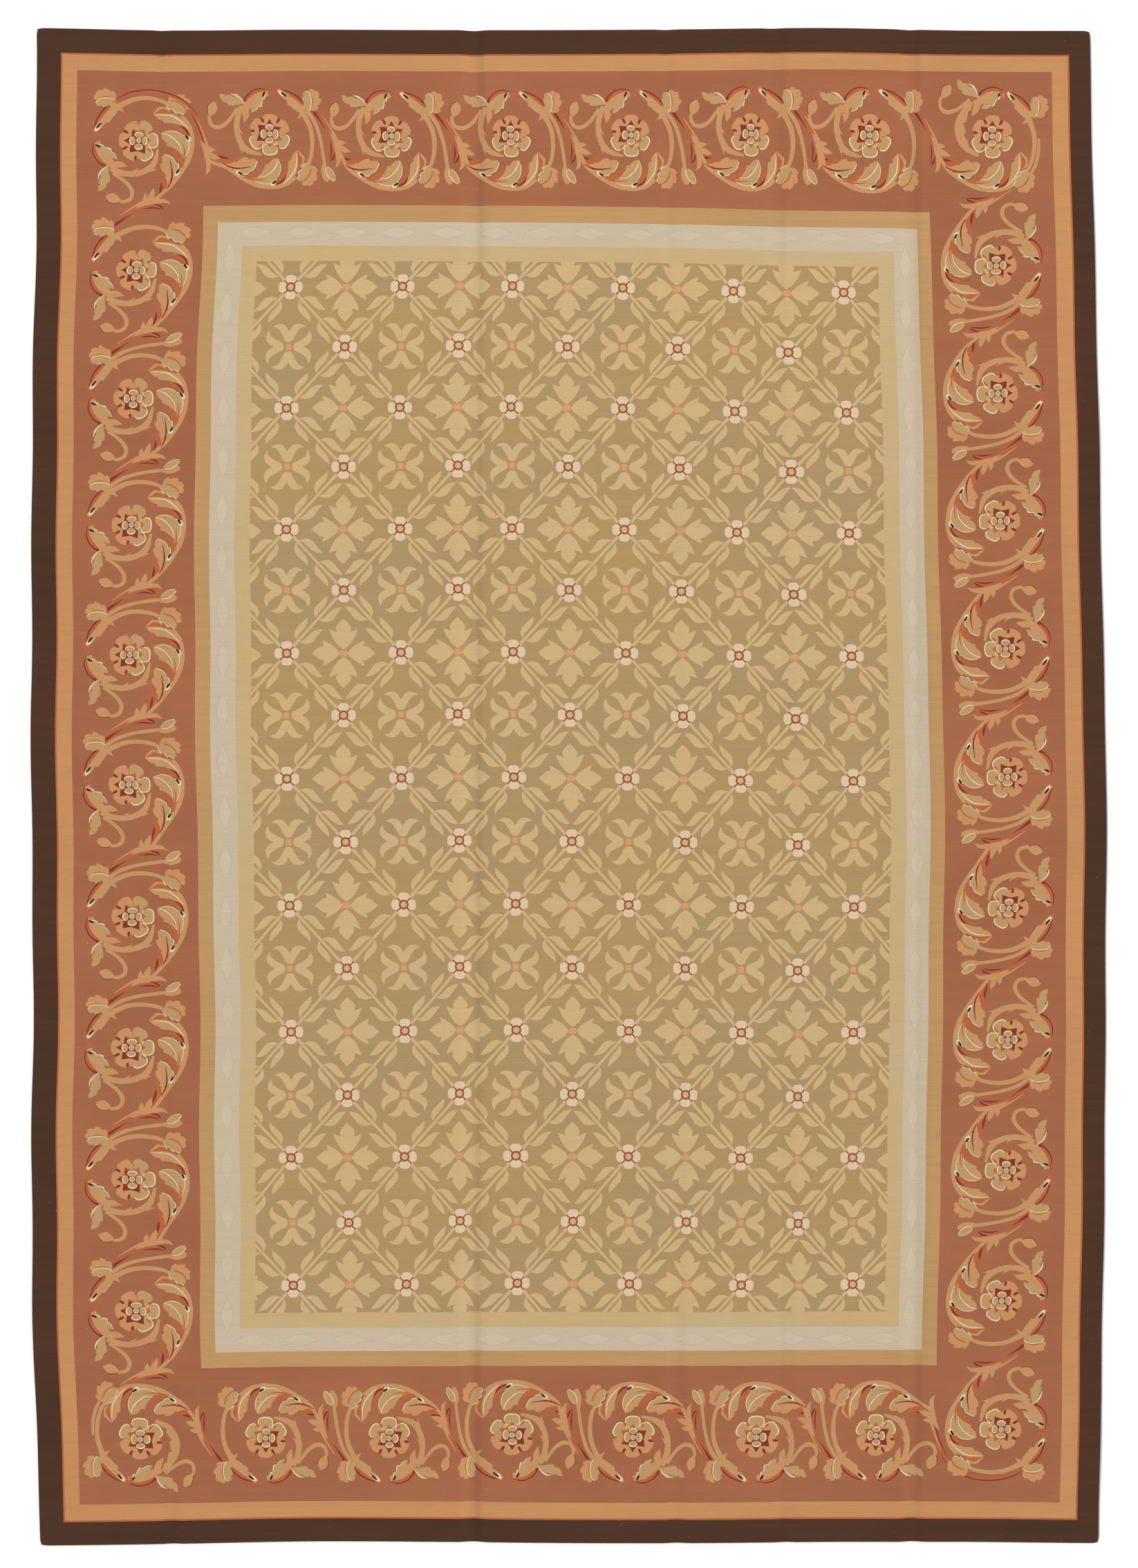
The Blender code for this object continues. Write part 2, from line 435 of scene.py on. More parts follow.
# Camera, light and floor
FRAME_LENGTH = 3.797
FRAME_MIDDLE = (0.0010, 0.0067)
CAMERA_HEIGHT = 9.0
SENSOR = 36.0
CLIP_END = 250.0
WORLD_STRENGTH = 0.62
SUN_ENERGY = 2.0
SUN_WIDTH = math.radians(20.0)
SUN_TILT = (math.radians(-12.0), math.radians(-38.0), 0.0)
STUDIO_GAIN = 1.13
PANEL_LAMP_SIZE = (2.6, 1.0)
PANEL_LAMP_POWER = 5.0
PANEL_LAMP_PLACE = (0.2, 2.2, 2.0)
FLOOR_HALF = 60.0
FLOOR_DROP = 0.0005
FLOOR_NOISE = ((1.5, 1.5, 1.0), 2.0, 0.5)
FLOOR_SPAN = (0.3, 0.7, 0.0, 1.0)
FLOOR_TONES = ((0.93, 0.93, 0.925), (0.95, 0.95, 0.945))
FLOOR_ROUGHNESS = 0.85


def smooth(value):
    """Rise from 0 to 1 with level ends."""
    value = np.clip(value, 0.0, 1.0)
    return value * value * (3.0 - 2.0 * value)


def read_rows(rows, column, share):
    """Value of a table column at a share of the way down its rows, along a smooth curve."""
    values = np.array([row[column] for row in rows])
    place = np.clip(share, 0.0, 1.0) * (len(rows) - 1)
    row = np.minimum(place.astype(int), len(rows) - 2)
    start = values[row]
    end = values[row + 1]
    before = values[np.maximum(row - 1, 0)]
    after = values[np.minimum(row + 2, len(rows) - 1)]
    part = place - row
    slope_in = (end - before) / 2.0
    slope_out = (after - start) / 2.0
    square = part * part
    cube = square * part
    return (
        (2.0 * cube - 3.0 * square + 1.0) * start
        + (cube - 2.0 * square + part) * slope_in
        + (3.0 * square - 2.0 * cube) * end
        + (cube - square) * slope_out
    )


def frame_size():
    """Half width and half length of the frame that the ochre band starts at."""
    side = sum(band[1] + band[2] for band in BANDS[:3]) / 2.0
    end = sum(band[3] + band[4] for band in BANDS[:3]) / 2.0
    return HALF_WIDTH - side, HALF_LENGTH - end


def frame_stray(x, y):
    """Carry points inwards of the rust band's outer edge to where the inner frame strays."""
    inner_x, inner_y = frame_size()
    past_x = np.maximum(np.abs(x) - inner_x, 0.0) / FRAME_FADE[0]
    past_y = np.maximum(np.abs(y) - inner_y, 0.0) / FRAME_FADE[1]
    hold = np.maximum(0.0, 1.0 - np.maximum(past_x, past_y))
    across = np.clip((x + inner_x) / (2.0 * inner_x), 0.0, 1.0)
    along = np.clip((y + inner_y) / (2.0 * inner_y), 0.0, 1.0)
    left = read_rows(FRAME_SIDE_STRAY, 0, along)
    right = read_rows(FRAME_SIDE_STRAY, 1, along)
    lower = read_rows(FRAME_END_STRAY, 0, across)
    upper = read_rows(FRAME_END_STRAY, 1, across)
    return (
        x + hold * (left + (right - left) * across),
        y + hold * (lower + (upper - lower) * along),
    )


def round_corner(x, y):
    """Draw points near a corner inwards, so that the corner turns on its radius."""
    inner_x = HALF_WIDTH - CORNER_RADIUS
    inner_y = HALF_LENGTH - CORNER_RADIUS
    past_x = np.maximum(np.abs(x) - inner_x, 0.0)
    past_y = np.maximum(np.abs(y) - inner_y, 0.0)
    both = (past_x > 0.0) & (past_y > 0.0)
    length = np.where(both, np.hypot(past_x, past_y), 1.0)
    keep = np.where(both, np.maximum(past_x, past_y) / length, 1.0)
    return (
        np.where(both, np.copysign(inner_x + past_x * keep, x), x),
        np.where(both, np.copysign(inner_y + past_y * keep, y), y),
    )


def bowed(x, y):
    """Carry points of the straight rug to their places within the bowed outline."""
    across = (x + HALF_WIDTH) / (2.0 * HALF_WIDTH)
    along = (y + HALF_LENGTH) / LENGTH
    waver = EDGE_WAVER * np.sin(math.tau * y / EDGE_WAVER_LENGTH)
    left = read_rows(SIDE_BOW, 0, along) + waver
    right = read_rows(SIDE_BOW, 1, along) - RIGHT_WAVER * waver
    lower = read_rows(END_BOW, 0, across)
    upper = read_rows(END_BOW, 1, across)
    return (
        x + right * across - left * (1.0 - across),
        y + upper * along - lower * (1.0 - along),
    )


def crease_lift(x, y):
    """Height of the storage creases at points of the straight rug."""
    lift = np.zeros_like(x)
    along = (y + HALF_LENGTH) / LENGTH
    for number, (lower_x, upper_x, height, half_width, beat) in enumerate(CREASES):
        middle = (lower_x + upper_x) / 2.0
        share = 1.0 - np.abs(x - middle) / half_width
        come_and_go = np.sin(math.tau * y / beat + CREASE_TURN * number)
        strength = CREASE_STEADY + (1.0 - CREASE_STEADY) * come_and_go
        fade = 1.0 - CREASE_FADE * along
        lift = np.maximum(lift, height * strength * fade * smooth(share))
    return lift


def crease_pull(x, y):
    """How far the creases move points of the cloth: sideways as they lean, and inwards."""
    sideways = np.zeros_like(x)
    inwards = np.zeros_like(x)
    for lower_x, upper_x, height, half_width, _ in CREASES:
        distance = np.abs(x - (lower_x + upper_x) / 2.0)
        near = smooth(1.0 - distance / (CREASE_PULL_REACH * half_width))
        sideways += near * (upper_x - lower_x) * y / LENGTH
        crest = smooth(1.0 - distance / half_width)
        inwards += crest * CREASE_DRAW * height * 2.0 * y / LENGTH
    return sideways, -inwards


def edge_ripple(x, y):
    """Height of the low ripples beside each edge. The cloth inside them lies flat."""
    depths = {
        "left": x + HALF_WIDTH,
        "right": HALF_WIDTH - x,
        "lower": y + HALF_LENGTH,
        "upper": HALF_LENGTH - y,
    }
    lift = np.zeros_like(x)
    for number, (side, depth) in enumerate(depths.items()):
        run = y if side in ("left", "right") else x
        near = smooth(1.0 - depth / RIPPLE_REACH)
        turns = math.tau * run / RIPPLE_LENGTH[side]
        wave = np.maximum(0.0, np.sin(turns + RIPPLE_TURN * number)) ** RIPPLE_SHARPNESS
        swell = RIPPLE_STEADY + (1.0 - RIPPLE_STEADY) * np.sin(turns / RIPPLE_BEAT)
        lift = np.maximum(lift, RIPPLE_HEIGHT * near * swell * wave)
    return lift


def corner_tips():
    """The four corners' tips on the floor, in order round the rug."""
    x = np.array([-1.0, 1.0, 1.0, -1.0]) * HALF_WIDTH
    y = np.array([-1.0, -1.0, 1.0, 1.0]) * HALF_LENGTH
    return bowed(*round_corner(x, y))


def rim_lift(x, y, tips):
    """Height of the curled rim, and the share of its lift that each point keeps."""
    nearest = np.full_like(x, np.inf)
    depth = np.full_like(x, np.inf)
    corners = np.stack(tips, axis=1)
    for start, end in zip(corners, np.roll(corners, -1, axis=0)):
        side = (end - start) / np.linalg.norm(end - start)
        depth = np.minimum(depth, side[0] * (y - start[1]) - side[1] * (x - start[0]))
        nearest = np.minimum(nearest, np.hypot(x - start[0], y - start[1]))
    return CURL_HEIGHT * smooth(1.0 - depth / CURL_REACH), smooth(nearest / CORNER_HOLD)


def lie(x, y):
    """Places on the floor of points of the straight rug, and the height of the underside there."""
    sideways, inwards = crease_pull(x, y)
    strayed_x, strayed_y = frame_stray(x, y)
    place_x, place_y = bowed(*round_corner(strayed_x + sideways, strayed_y + inwards))
    curl, rise = rim_lift(place_x, place_y, corner_tips())
    lift = np.maximum(np.maximum(crease_lift(x, y), edge_ripple(x, y)), curl) * rise
    return place_x, place_y, lift


def box_centre():
    """Centre of the laid rug, which the part's source moves to the origin."""
    steps = np.linspace(-1.0, 1.0, BOX_STEPS)
    ones = np.ones_like(steps)
    x = np.concatenate((steps, steps, ones, -ones)) * HALF_WIDTH
    y = np.concatenate((ones, -ones, steps, steps)) * HALF_LENGTH
    place_x, place_y, _ = lie(x, y)
    return (place_x.min() + place_x.max()) / 2.0, (place_y.min() + place_y.max()) / 2.0


def curve(points, steps=5):
    """Smooth open curve through a few points. Each may carry widths beside its place."""
    if len(points) < 3:
        return list(points)
    out = []
    last = len(points) - 1
    for number in range(last):
        before = points[max(number - 1, 0)]
        start = points[number]
        end = points[number + 1]
        after = points[min(number + 2, last)]
        for step in range(steps):
            t = step / steps
            square = t * t
            cube = square * t
            out.append(tuple(
                0.5 * (
                    2.0 * b
                    + (c - a) * t
                    + (2.0 * a - 5.0 * b + 4.0 * c - d) * square
                    + (3.0 * b - a - 3.0 * c + d) * cube
                )
                for a, b, c, d in zip(before, start, end, after)
            ))
    out.append(points[last])
    return out


def moved(points, x, y, turn):
    """The points turned round their origin, and the origin carried to a place."""
    cos_turn = math.cos(turn)
    sin_turn = math.sin(turn)
    return [(x + u * cos_turn - v * sin_turn, y + u * sin_turn + v * cos_turn) for u, v in points]


def oval(u, v, half_u, half_v, degrees=0.0, count=14):
    """Oval with its centre at a point."""
    angles = [math.tau * step / count for step in range(count)]
    points = [(half_u * math.cos(angle), half_v * math.sin(angle)) for angle in angles]
    return moved(points, u, v, math.radians(degrees))


def blade(rows, teeth=(0, 0), steps=5):
    """Leaf round a curved rib. Each row has a place, and the widths left and right of the rib."""
    line = curve(rows, steps)
    last = len(line) - 1
    sides = []
    for side, count in zip((1.0, -1.0), teeth):
        edge = []
        for number, (u, v, left, right) in enumerate(line):
            u0, v0 = line[max(number - 1, 0)][:2]
            u1, v1 = line[min(number + 1, last)][:2]
            run = math.hypot(u1 - u0, v1 - v0) or 1.0
            wide = side * max(left if side > 0.0 else right, 0.0)
            if count and number < last:
                wide *= 1.0 - TOOTH_CUT * (1.0 - number * count / last % 1.0) ** 2
            edge.append((u - (v1 - v0) / run * wide, v + (u1 - u0) / run * wide))
        sides.append(edge)
    return sides[0] + sides[1][::-1]


def stem(rows, steps=4):
    """Band round a smooth curve. Each row has a place and a width."""
    return blade([(u, v, width / 2.0, width / 2.0) for u, v, width in rows], steps=steps)


def seat(x, y, turn=0.0, mirror_v=1.0):
    """Rule that carries a motif's millimetres to its seat on the rug, in metres."""
    return lambda points: moved([(u * MM, v * mirror_v * MM) for u, v in points], x, y, turn)


def nested(carry, u, v, degrees, flip=1.0):
    """Rule that seats a small motif within a bigger one."""
    turn = math.radians(degrees)
    return lambda points: carry(moved([(along, up * flip) for along, up in points], u, v, turn))


class Cartoon:
    """The weaver's drawing: coloured outlines in order, each laid over the ones before."""

    def __init__(self):
        self.shapes = []

    def lay(self, yarn, points, carry=None):
        """Add one outline. With a seat its points are in millimetres, else in metres."""
        self.shapes.append((yarn, carry(points) if carry else points))

    def stems(self, carry, *stems):
        """Add stems, each with its yarn and its rows of place and width."""
        for yarn, *rows in stems:
            self.lay(yarn, stem(rows), carry)

    def leaves(self, carry, *leaves):
        """Add plain leaves, each with its yarn and its rows of place and widths."""
        for yarn, *rows in leaves:
            self.leaf(carry, yarn, rows)

    def leaf(self, carry, yarn, rows, teeth=(0, 0), rim=(0.0, 0.0), rim_yarn="cream"):
        """Add a leaf, with a rim of another yarn along its left or right side."""
        if any(rim):
            wider = []
            for u, v, left, right in rows:
                wider.append((u, v, left + rim[0] * bool(left), right + rim[1] * bool(right)))
            self.lay(rim_yarn, blade(wider, teeth), carry)
        self.lay(yarn, blade(rows, teeth), carry)

    def shaded(self, carry, rows, side, edge=2.2):
        """Add a gold stem with a khaki shade along one side: 1 for its left, -1 for its right."""
        self.lay("khaki", stem(rows), carry)
        bright = []
        for u, v, width in rows:
            half = width / 2.0
            thin = max(half - edge, -half)
            bright.append((u, v, thin, half) if side > 0 else (u, v, half, thin))
        self.lay("gold", blade(bright, steps=4), carry)


def flower_lobe(degrees, out, half_out, half_across):
    """Squarish petal of a rosette, pointing outwards."""
    points = []
    for u, v in oval(0, 0, 1, 1):
        square_u = math.copysign(abs(u) ** LOBE_SQUARE, u)
        square_v = math.copysign(abs(v) ** LOBE_SQUARE, v)
        points.append((square_u * half_out + out, square_v * half_across))
    return moved(points, 0, 0, math.radians(degrees))


def at_angle(degrees, out):
    """Place at an angle and a distance from a motif's centre."""
    return out * math.cos(math.radians(degrees)), out * math.sin(math.radians(degrees))


def star(points, outer, inner, degrees=0.0):
    """Star with straight points."""
    out = []
    for step in range(2 * points):
        out.append(at_angle(degrees + 180.0 * step / points, inner if step % 2 else outer))
    return out


def big_rosette(cartoon, carry, bare=0):
    """Six-lobed rosette: gold lobes away from the field, khaki ones towards it, the last rimmed."""
    cartoon.lay("khaki", oval(0, 0, ROSETTE_DISC, ROSETTE_DISC, 0, 20), carry)
    inner = [size - CREAM_LINE for size in LOBE_SIZE]
    outer = [size + OUTLINE_LINE for size in LOBE_SIZE]
    for number, (degrees, out) in enumerate(ROSETTE_PALE):
        rim = "khaki" if number < bare else "cream"
        cartoon.lay(rim, flower_lobe(degrees, out, *LOBE_SIZE), carry)
        cartoon.lay("khaki", flower_lobe(degrees, out - PALE_HEART_PULL, *inner), carry)
    for degrees, out in ROSETTE_BRIGHT:
        cartoon.lay("terracotta", flower_lobe(degrees, out, *outer), carry)
    cartoon.lay("gold", [at_angle(*point) for point in ROSETTE_FAN], carry)
    for degrees, out in ROSETTE_BRIGHT:
        cartoon.lay("gold", flower_lobe(degrees, out, *LOBE_SIZE), carry)
    for yarn, *patch in ROSETTE_PATCHES:
        cartoon.lay(yarn, oval(*patch), carry)
    for yarn, degrees, out, half_out, half_across in ROSETTE_NICKS:
        nick = oval(*at_angle(degrees, out), half_out, half_across, degrees, 10)
        cartoon.lay(yarn, nick, carry)
    cartoon.lay("terracotta", star(STAR_POINTS, *STAR_SIZE), carry)
    cartoon.lay("dark_red", [at_angle(*point) for point in ROSETTE_STAR], carry)
    for u, v, half_u, half_v in ROSETTE_INNER:
        cartoon.lay("line_brown", oval(u, v, half_u + INNER_RIM, half_v + INNER_RIM), carry)
        cartoon.lay("cream", oval(u, v, half_u, half_v), carry)
        small = (half_u - INNER_LINE, half_v - INNER_LINE)
        heart = (INNER_HEART_SHARE * u, INNER_HEART_SHARE * v)
        cartoon.lay("khaki", oval(*heart, *small, 0, 12), carry)
    for yarn, half in ROSETTE_RINGS:
        cartoon.lay(yarn, oval(0, 0, half, half, 0, 12), carry)


def eye(cartoon, carry, u, v, degrees, long=7.0, drop=True):
    """Dark eye above a cream drop, where leaves part from a stem."""
    place = nested(carry, u, v, degrees)
    if drop:
        cartoon.lay("cream", oval(-0.5 * long, -1.0, 1.2 * long, DROP_DEEP, DROP_LEAN), place)
    cartoon.lay("eye", oval(0, 0, long, EYE_DEEP), place)


def blossom(cartoon, carry, rim=(0.0, 2.0)):
    """Cup with a jagged back and a rimmed front petal, opening away from its stem."""
    cartoon.leaf(carry, "gold", (
        (4, 4, 2, 2), (13, 12, 12, 6), (27, 13, 16, 8), (39, 9, 16, 9), (49, 1, 10, 8), (54, -4, 2, 2),
    ), teeth=(4, 0), rim=(OUTLINE_LINE, 0.0), rim_yarn="terracotta")
    cartoon.stems(carry, ("terracotta", (11, 9, 2), (27, 8, 3), (41, 1, 3), (48, -8, 2)))
    cartoon.leaf(carry, "khaki", (
        (0, 0, 3, 3), (11, -3, 9, 9), (26, -6, 10, 12), (39, -11, 9, 9), (47, -15, 3, 3),
    ), teeth=(0, 3), rim=rim)


def bud(cartoon, carry):
    """Closed bud with a red line along one side, opening away from its stem."""
    cartoon.leaf(carry, "gold", ((0, 0, 3, 3), (9, 0, 10, 8), (23, 1, 12, 11), (36, 2, 3, 3)),
                 rim=(0.0, 1.8), rim_yarn="dark_red")
    cartoon.leaf(carry, "khaki", ((8, 5, 1, 1), (18, 8, 3, 3), (29, 7, 1, 1)))


def acanthus(cartoon, carry, after):
    """Stem on the outer side, with three big leaves that turn in, down to the next calyx."""
    cartoon.leaves(
        carry,
        ("terracotta", (51, -137, 0, 0), (63, -121, 6, 6), (67, -101, 8, 7), (55, -74, 0, 0)),
        ("terracotta", (73, -19, 0, 0), (90, -26, 5, 5), (107, -45, 8, 8), (108, -68, 1, 1)),
        ("terracotta", (76, 36, 0, 0), (99, 34, 4, 5), (114, 25, 6, 5), (123, 7, 2, 2)),
    )
    cartoon.stems(carry, ("dark_red", (58, -101, 1), (57, -114, 6), (51, -137, 2)))
    outer = carry([(108, 62), (123, 38), (129, 2), (124, -36), (108, -69), (81, -108)])
    outer += after([(52, 174), (39, 166)])
    widths = (4, 10, 13, 12, 11, 9, 8, 7)
    rows = [(*place, width * MM) for place, width in zip(outer, widths)]
    cartoon.shaded(None, rows, 1, 2.4 * MM)
    cartoon.leaf(carry, "gold", ((127, -10, 3, 3), (130, -15, 2, 2), (134, -18, 0, 0)))
    # Upper leaf, with a small back leaf above it
    cartoon.leaf(carry, "gold", (
        (82, 69, 2, 4), (67, 79, 4, 7), (52, 76, 4, 4), (40, 66, 0, 0),
    ), teeth=(0, 3))
    cartoon.leaf(carry, "terracotta", ((84, 67, 2, 2), (65, 75, 5, 4), (46, 67, 0, 0)))
    cartoon.leaf(carry, "gold", (
        (126, 22, 2, 3), (112, 43, 9, 9), (84, 56, 15, 10), (60, 61, 12, 7), (40, 66, 0, 0),
    ), teeth=(3, 0))
    cartoon.leaf(carry, "khaki", ((115, 35, 1, 1), (87, 50, 6, 6), (58, 59, 1, 1)))
    # Middle leaf
    cartoon.leaf(carry, "khaki", (
        (111, -44, 3, 2), (117, -14, 12, 6), (104, 10, 14, 9), (82, 20, 12, 4), (60, 19, 0, 0),
    ), teeth=(0, 2), rim=(0.0, 2.0))
    cartoon.leaf(carry, "gold", (
        (106, -32, 1, 1), (93, -12, 9, 5), (80, 1, 14, 6), (68, 12, 9, 4), (60, 19, 0, 0),
    ), teeth=(2, 0))
    cartoon.leaf(carry, "khaki", ((105, -30, 1, 1), (90, -8, 6, 4), (71, 10, 1, 1)))
    # Lower leaf
    cartoon.leaf(carry, "khaki", (
        (84, -91, 1, 1), (87, -67, 6, 11), (82, -48, 6, 8), (65, -35, 0, 2),
    ), teeth=(0, 2), rim=(0.0, 2.0))
    cartoon.leaf(carry, "gold", (
        (73, -115, 1, 1), (76, -93, 7, 5), (73, -67, 17, 8), (70, -48, 12, 8), (65, -34, 4, 3),
    ), teeth=(3, 0))
    cartoon.leaf(carry, "gold", ((79, -116, 0, 0), (89, -97, 5, 4), (99, -79, 0, 0)))
    cartoon.stems(
        carry,
        ("cream", (48, 65, 1), (82, 62, 2.4), (99, 53, 2.6), (111, 43, 2.4), (123, 29, 1)),
        ("cream", (62, 19, 1), (78, 14, 2.4), (92, 2, 2.6), (103, -14, 2.4), (106, -33, 1)),
        ("dark_red", (80, -48, 1.4), (84, -78, 3.4), (80, -100, 3.6), (71, -117, 1.4)),
        ("dark_red", (100, 38, 1), (113, 31, 5), (121, 20, 5), (124, 7, 4)),
        ("terracotta", (110, -8, 1), (113, -27, 3), (111, -48, 4), (106, -67, 2)),
    )
    eye(cartoon, carry, 119, 8, 118)
    eye(cartoon, carry, 96, -75, 54)


def arch(cartoon, carry):
    """Stem over the rosette, with its leaf head and two blossoms."""
    cartoon.stems(
        carry,
        ("terracotta", (-107, 42, 2), (-110, 26, 4), (-107, 12, 6), (-98, 7, 6), (-91, 13, 3),
         (-86, 24, 1)),
        ("dark_red", (-59, 94, 6), (-74, 83, 8), (-89, 68, 7), (-101, 50, 5), (-108, 30, 2)),
        ("terracotta", (-62, 89, 3), (-76, 76, 7), (-91, 60, 6), (-102, 42, 2)),
    )
    cartoon.shaded(carry, (
        (76, 92, 8), (56, 100, 9), (24, 104, 10), (-8, 101, 11), (-34, 91, 12), (-57, 78, 15),
    ), 1)
    cartoon.leaf(carry, "gold", (
        (-55, 88, 6, 6), (-68, 69, 14, 8), (-87, 47, 13, 7), (-107, 21, 4, 4),
    ), teeth=(3, 0))
    cartoon.leaves(
        carry,
        ("gold", (-56, 79, 5, 5), (-45, 76, 4, 4), (-36, 67, 0, 0)),
        ("khaki", (-53, 83, 1, 1), (-62, 63, 4, 6), (-80, 44, 1, 1)),
    )
    eye(cartoon, carry, -97, 35, 49, 9.0)
    blossom(cartoon, nested(carry, -55, 92, 168, -1.0), (2.0, 0.0))
    blossom(cartoon, nested(carry, 73, 93, -13))


def ring_stem(cartoon, carry):
    """Stem that ends in the rosette."""
    cartoon.shaded(carry, (
        (-68, -67, 14), (-45, -78, 14), (-12, -81, 13), (18, -73, 14), (40, -55, 14), (51, -20, 5),
    ), -1, 3.4)
    cartoon.leaves(
        carry,
        ("gold", (-14, -77, 4, 4), (-6, -72, 2, 2), (1, -64, 0, 0)),
        ("gold", (30, -73, 4, 4), (40, -70, 2, 2), (49, -70, 0, 0)),
    )


def ring_leaf(cartoon, carry):
    """Toothed crescent that takes the ring stem's place beside two of the corner rosettes."""
    cartoon.leaf(carry, "gold", (
        (-78, -50, 4, 5), (-62, -65, 12, 8), (-33, -80, 16, 10), (0, -80, 16, 10), (28, -63, 10, 8),
        (46, -34, 3, 3),
    ), teeth=(5, 0), rim=(0.0, OUTLINE_LINE), rim_yarn="terracotta")
    cartoon.leaf(carry, "khaki", (
        (-70, -62, 1, 1), (-36, -86, 2, 3), (0, -87, 2, 3), (32, -65, 1, 1),
    ))


def lower_leaves(cartoon, carry):
    """Second leaf head, hanging leaf and the curled bud."""
    cartoon.stems(
        carry,
        ("terracotta", (-105, -6, 3), (-107, -25, 7), (-99, -44, 8), (-86, -58, 7)),
        ("dark_red", (-107, -2, 1), (-111, -24, 3), (-105, -43, 3), (-92, -57, 4), (-82, -62, 6),
         (-82, -70, 2)),
    )
    cartoon.leaf(carry, "gold", (
        (-55, -66, 8, 8), (-74, -48, 11, 10), (-91, -28, 10, 10), (-100, -3, 6, 6),
    ), teeth=(0, 2))
    cartoon.leaf(carry, "gold", ((-62, -60, 8, 6), (-45, -59, 8, 7), (-27, -63, 0, 0)))
    cartoon.leaf(carry, "khaki", (
        (-101, -13, 4, 3), (-87, -22, 8, 8), (-70, -33, 10, 9), (-52, -46, 0, 0),
    ), teeth=(3, 0), rim=(2.6, 0.0))
    eye(cartoon, carry, -98, -14, -24, drop=False)
    cartoon.leaf(carry, "khaki", (
        (-75, -60, 3, 3), (-80, -76, 9, 9), (-83, -92, 13, 14), (-87, -106, 13, 11), (-93, -115, 8, 7),
        (-99, -123, 0, 0),
    ), teeth=(2, 3))
    cartoon.stems(carry, ("cream", (-77, -62, 1), (-88, -71, 3), (-96, -82, 3.4), (-98, -94, 1)))
    cartoon.shaded(carry, (
        (-64, -80, 7), (-46, -91, 8), (-28, -106, 9), (-18, -124, 10), (-22, -141, 9), (-37, -148, 8),
        (-50, -147, 7),
    ), -1)
    bud(cartoon, nested(carry, -46, -146, 166, -1.0))


def short_stem(cartoon, carry):
    """Red stem that runs from the calyx to the start of the next unit's arch."""
    cartoon.stems(
        carry,
        ("terracotta", (66, 149, 3), (52, 157, 9), (34, 158, 10), (12, 154, 9), (-10, 142, 8),
         (-36, 126, 7), (-60, 105, 2)),
        ("dark_red", (67, 146, 1), (61, 154, 5), (45, 159, 2)),
        ("dark_red", (62, 147, 2), (40, 150, 4), (16, 147, 1)),
        ("dark_red", (-14, 135, 1), (-34, 122, 4), (-50, 111, 7), (-60, 103, 3)),
        ("gold", (32, 170, 7), (10, 162, 6), (-12, 150, 4), (-42, 131, 1.5)),
    )


def calyx(cartoon, carry):
    """Spiked calyx at the end of a unit."""
    cartoon.leaves(
        carry,
        ("gold", (26, 160, 5, 5), (22, 173, 6, 6), (23, 187, 0, 0)),
        ("gold", (32, 160, 6, 6), (38, 176, 8, 6), (42, 187, 6, 5), (44, 198, 0, 0)),
        ("gold", (22, 161, 6, 6), (52, 167, 5, 6), (72, 167, 4, 5), (85, 158, 0, 0)),
        ("gold", (30, 168, 6, 6), (14, 158, 5, 5), (-4, 148, 0, 0)),
        ("khaki", (20, 164, 1, 1), (27, 172, 2, 2), (22, 186, 0, 0)),
    )


def spare_bud(cartoon, carry):
    """Stem along the top of the arch that ends in a bud."""
    cartoon.shaded(carry, (
        (-56, 92, 9), (-27, 111, 9), (10, 123, 8), (45, 129, 8), (79, 133, 8),
    ), -1)
    cartoon.leaf(carry, "gold", (
        (76, 131, 3, 4), (90, 134, 10, 10), (106, 137, 8, 10), (118, 138, 3, 5),
    ))
    cartoon.leaf(carry, "khaki", (
        (82, 138, 2, 2), (92, 143, 7, 7), (106, 150, 7, 6), (116, 156, 2, 1),
    ), rim=(1.2, 2.0))


def side_stem(cartoon, carry):
    """Short stem outside the arch of a corner unit."""
    cartoon.shaded(carry, ((-6, 112, 5), (28, 115, 8), (60, 111, 8), (86, 100, 5)), -1)


def long_stem(cartoon, carry):
    """Red stem that runs from the calyx round the outside of a corner unit's arch."""
    cartoon.stems(
        carry,
        ("terracotta", (36, 170, 8), (-34, 150, 9), (-82, 127, 9), (-111, 86, 9), (-120, 30, 8),
         (-112, -24, 7), (-92, -64, 2)),
        ("dark_red", (-60, 144, 1), (-96, 117, 3), (-118, 74, 3), (-124, 28, 3), (-117, -22, 3),
         (-96, -60, 1)),
        ("dark_red", (34, 164, 2), (-20, 150, 3), (-66, 130, 1)),
        ("gold", (30, 172, 7), (-12, 158, 4), (-52, 144, 1)),
    )


def draw_border(cartoon):
    """The leaf scroll: each side's chain of units, turned so that its leaves face the field."""
    for number, (_, turn, places) in enumerate(CHAINS):
        next_places = CHAINS[(number + 1) % len(CHAINS)][2]
        outside = number in (1, 3)
        along = list(places) + [next_places[0]]
        angle = math.radians(turn)
        for step in range(len(along) - 1):
            carry = seat(*along[step], angle)
            after = seat(*along[step + 1], angle)
            acanthus(cartoon, carry, after)
            if step > 1:
                spare_bud(cartoon, carry)
            if step == 0 and outside:
                over, under = (nested(carry, 0, 0, turn) for turn in CORNER_TURNS)
                side_stem(cartoon, over)
                ring_leaf(cartoon, carry)
            else:
                over, under = carry, carry
                ring_stem(cartoon, carry)
            lower_leaves(cartoon, under)
            arch(cartoon, over)
            big_rosette(cartoon, carry, bare=number == 0)
            if outside and step == len(places) - 1:
                long_stem(cartoon, after)
            else:
                short_stem(cartoon, after)
            calyx(cartoon, after)


def outline(*runs):
    """Closed outline whose runs are smooth and meet in corners."""
    out = []
    for run in runs:
        out.extend(curve(run)[:-1])
    return out


def mirrored(run):
    """The same run on the other side of the upright axis, taken backwards."""
    return [(-u, v) for u, v in reversed(run)]


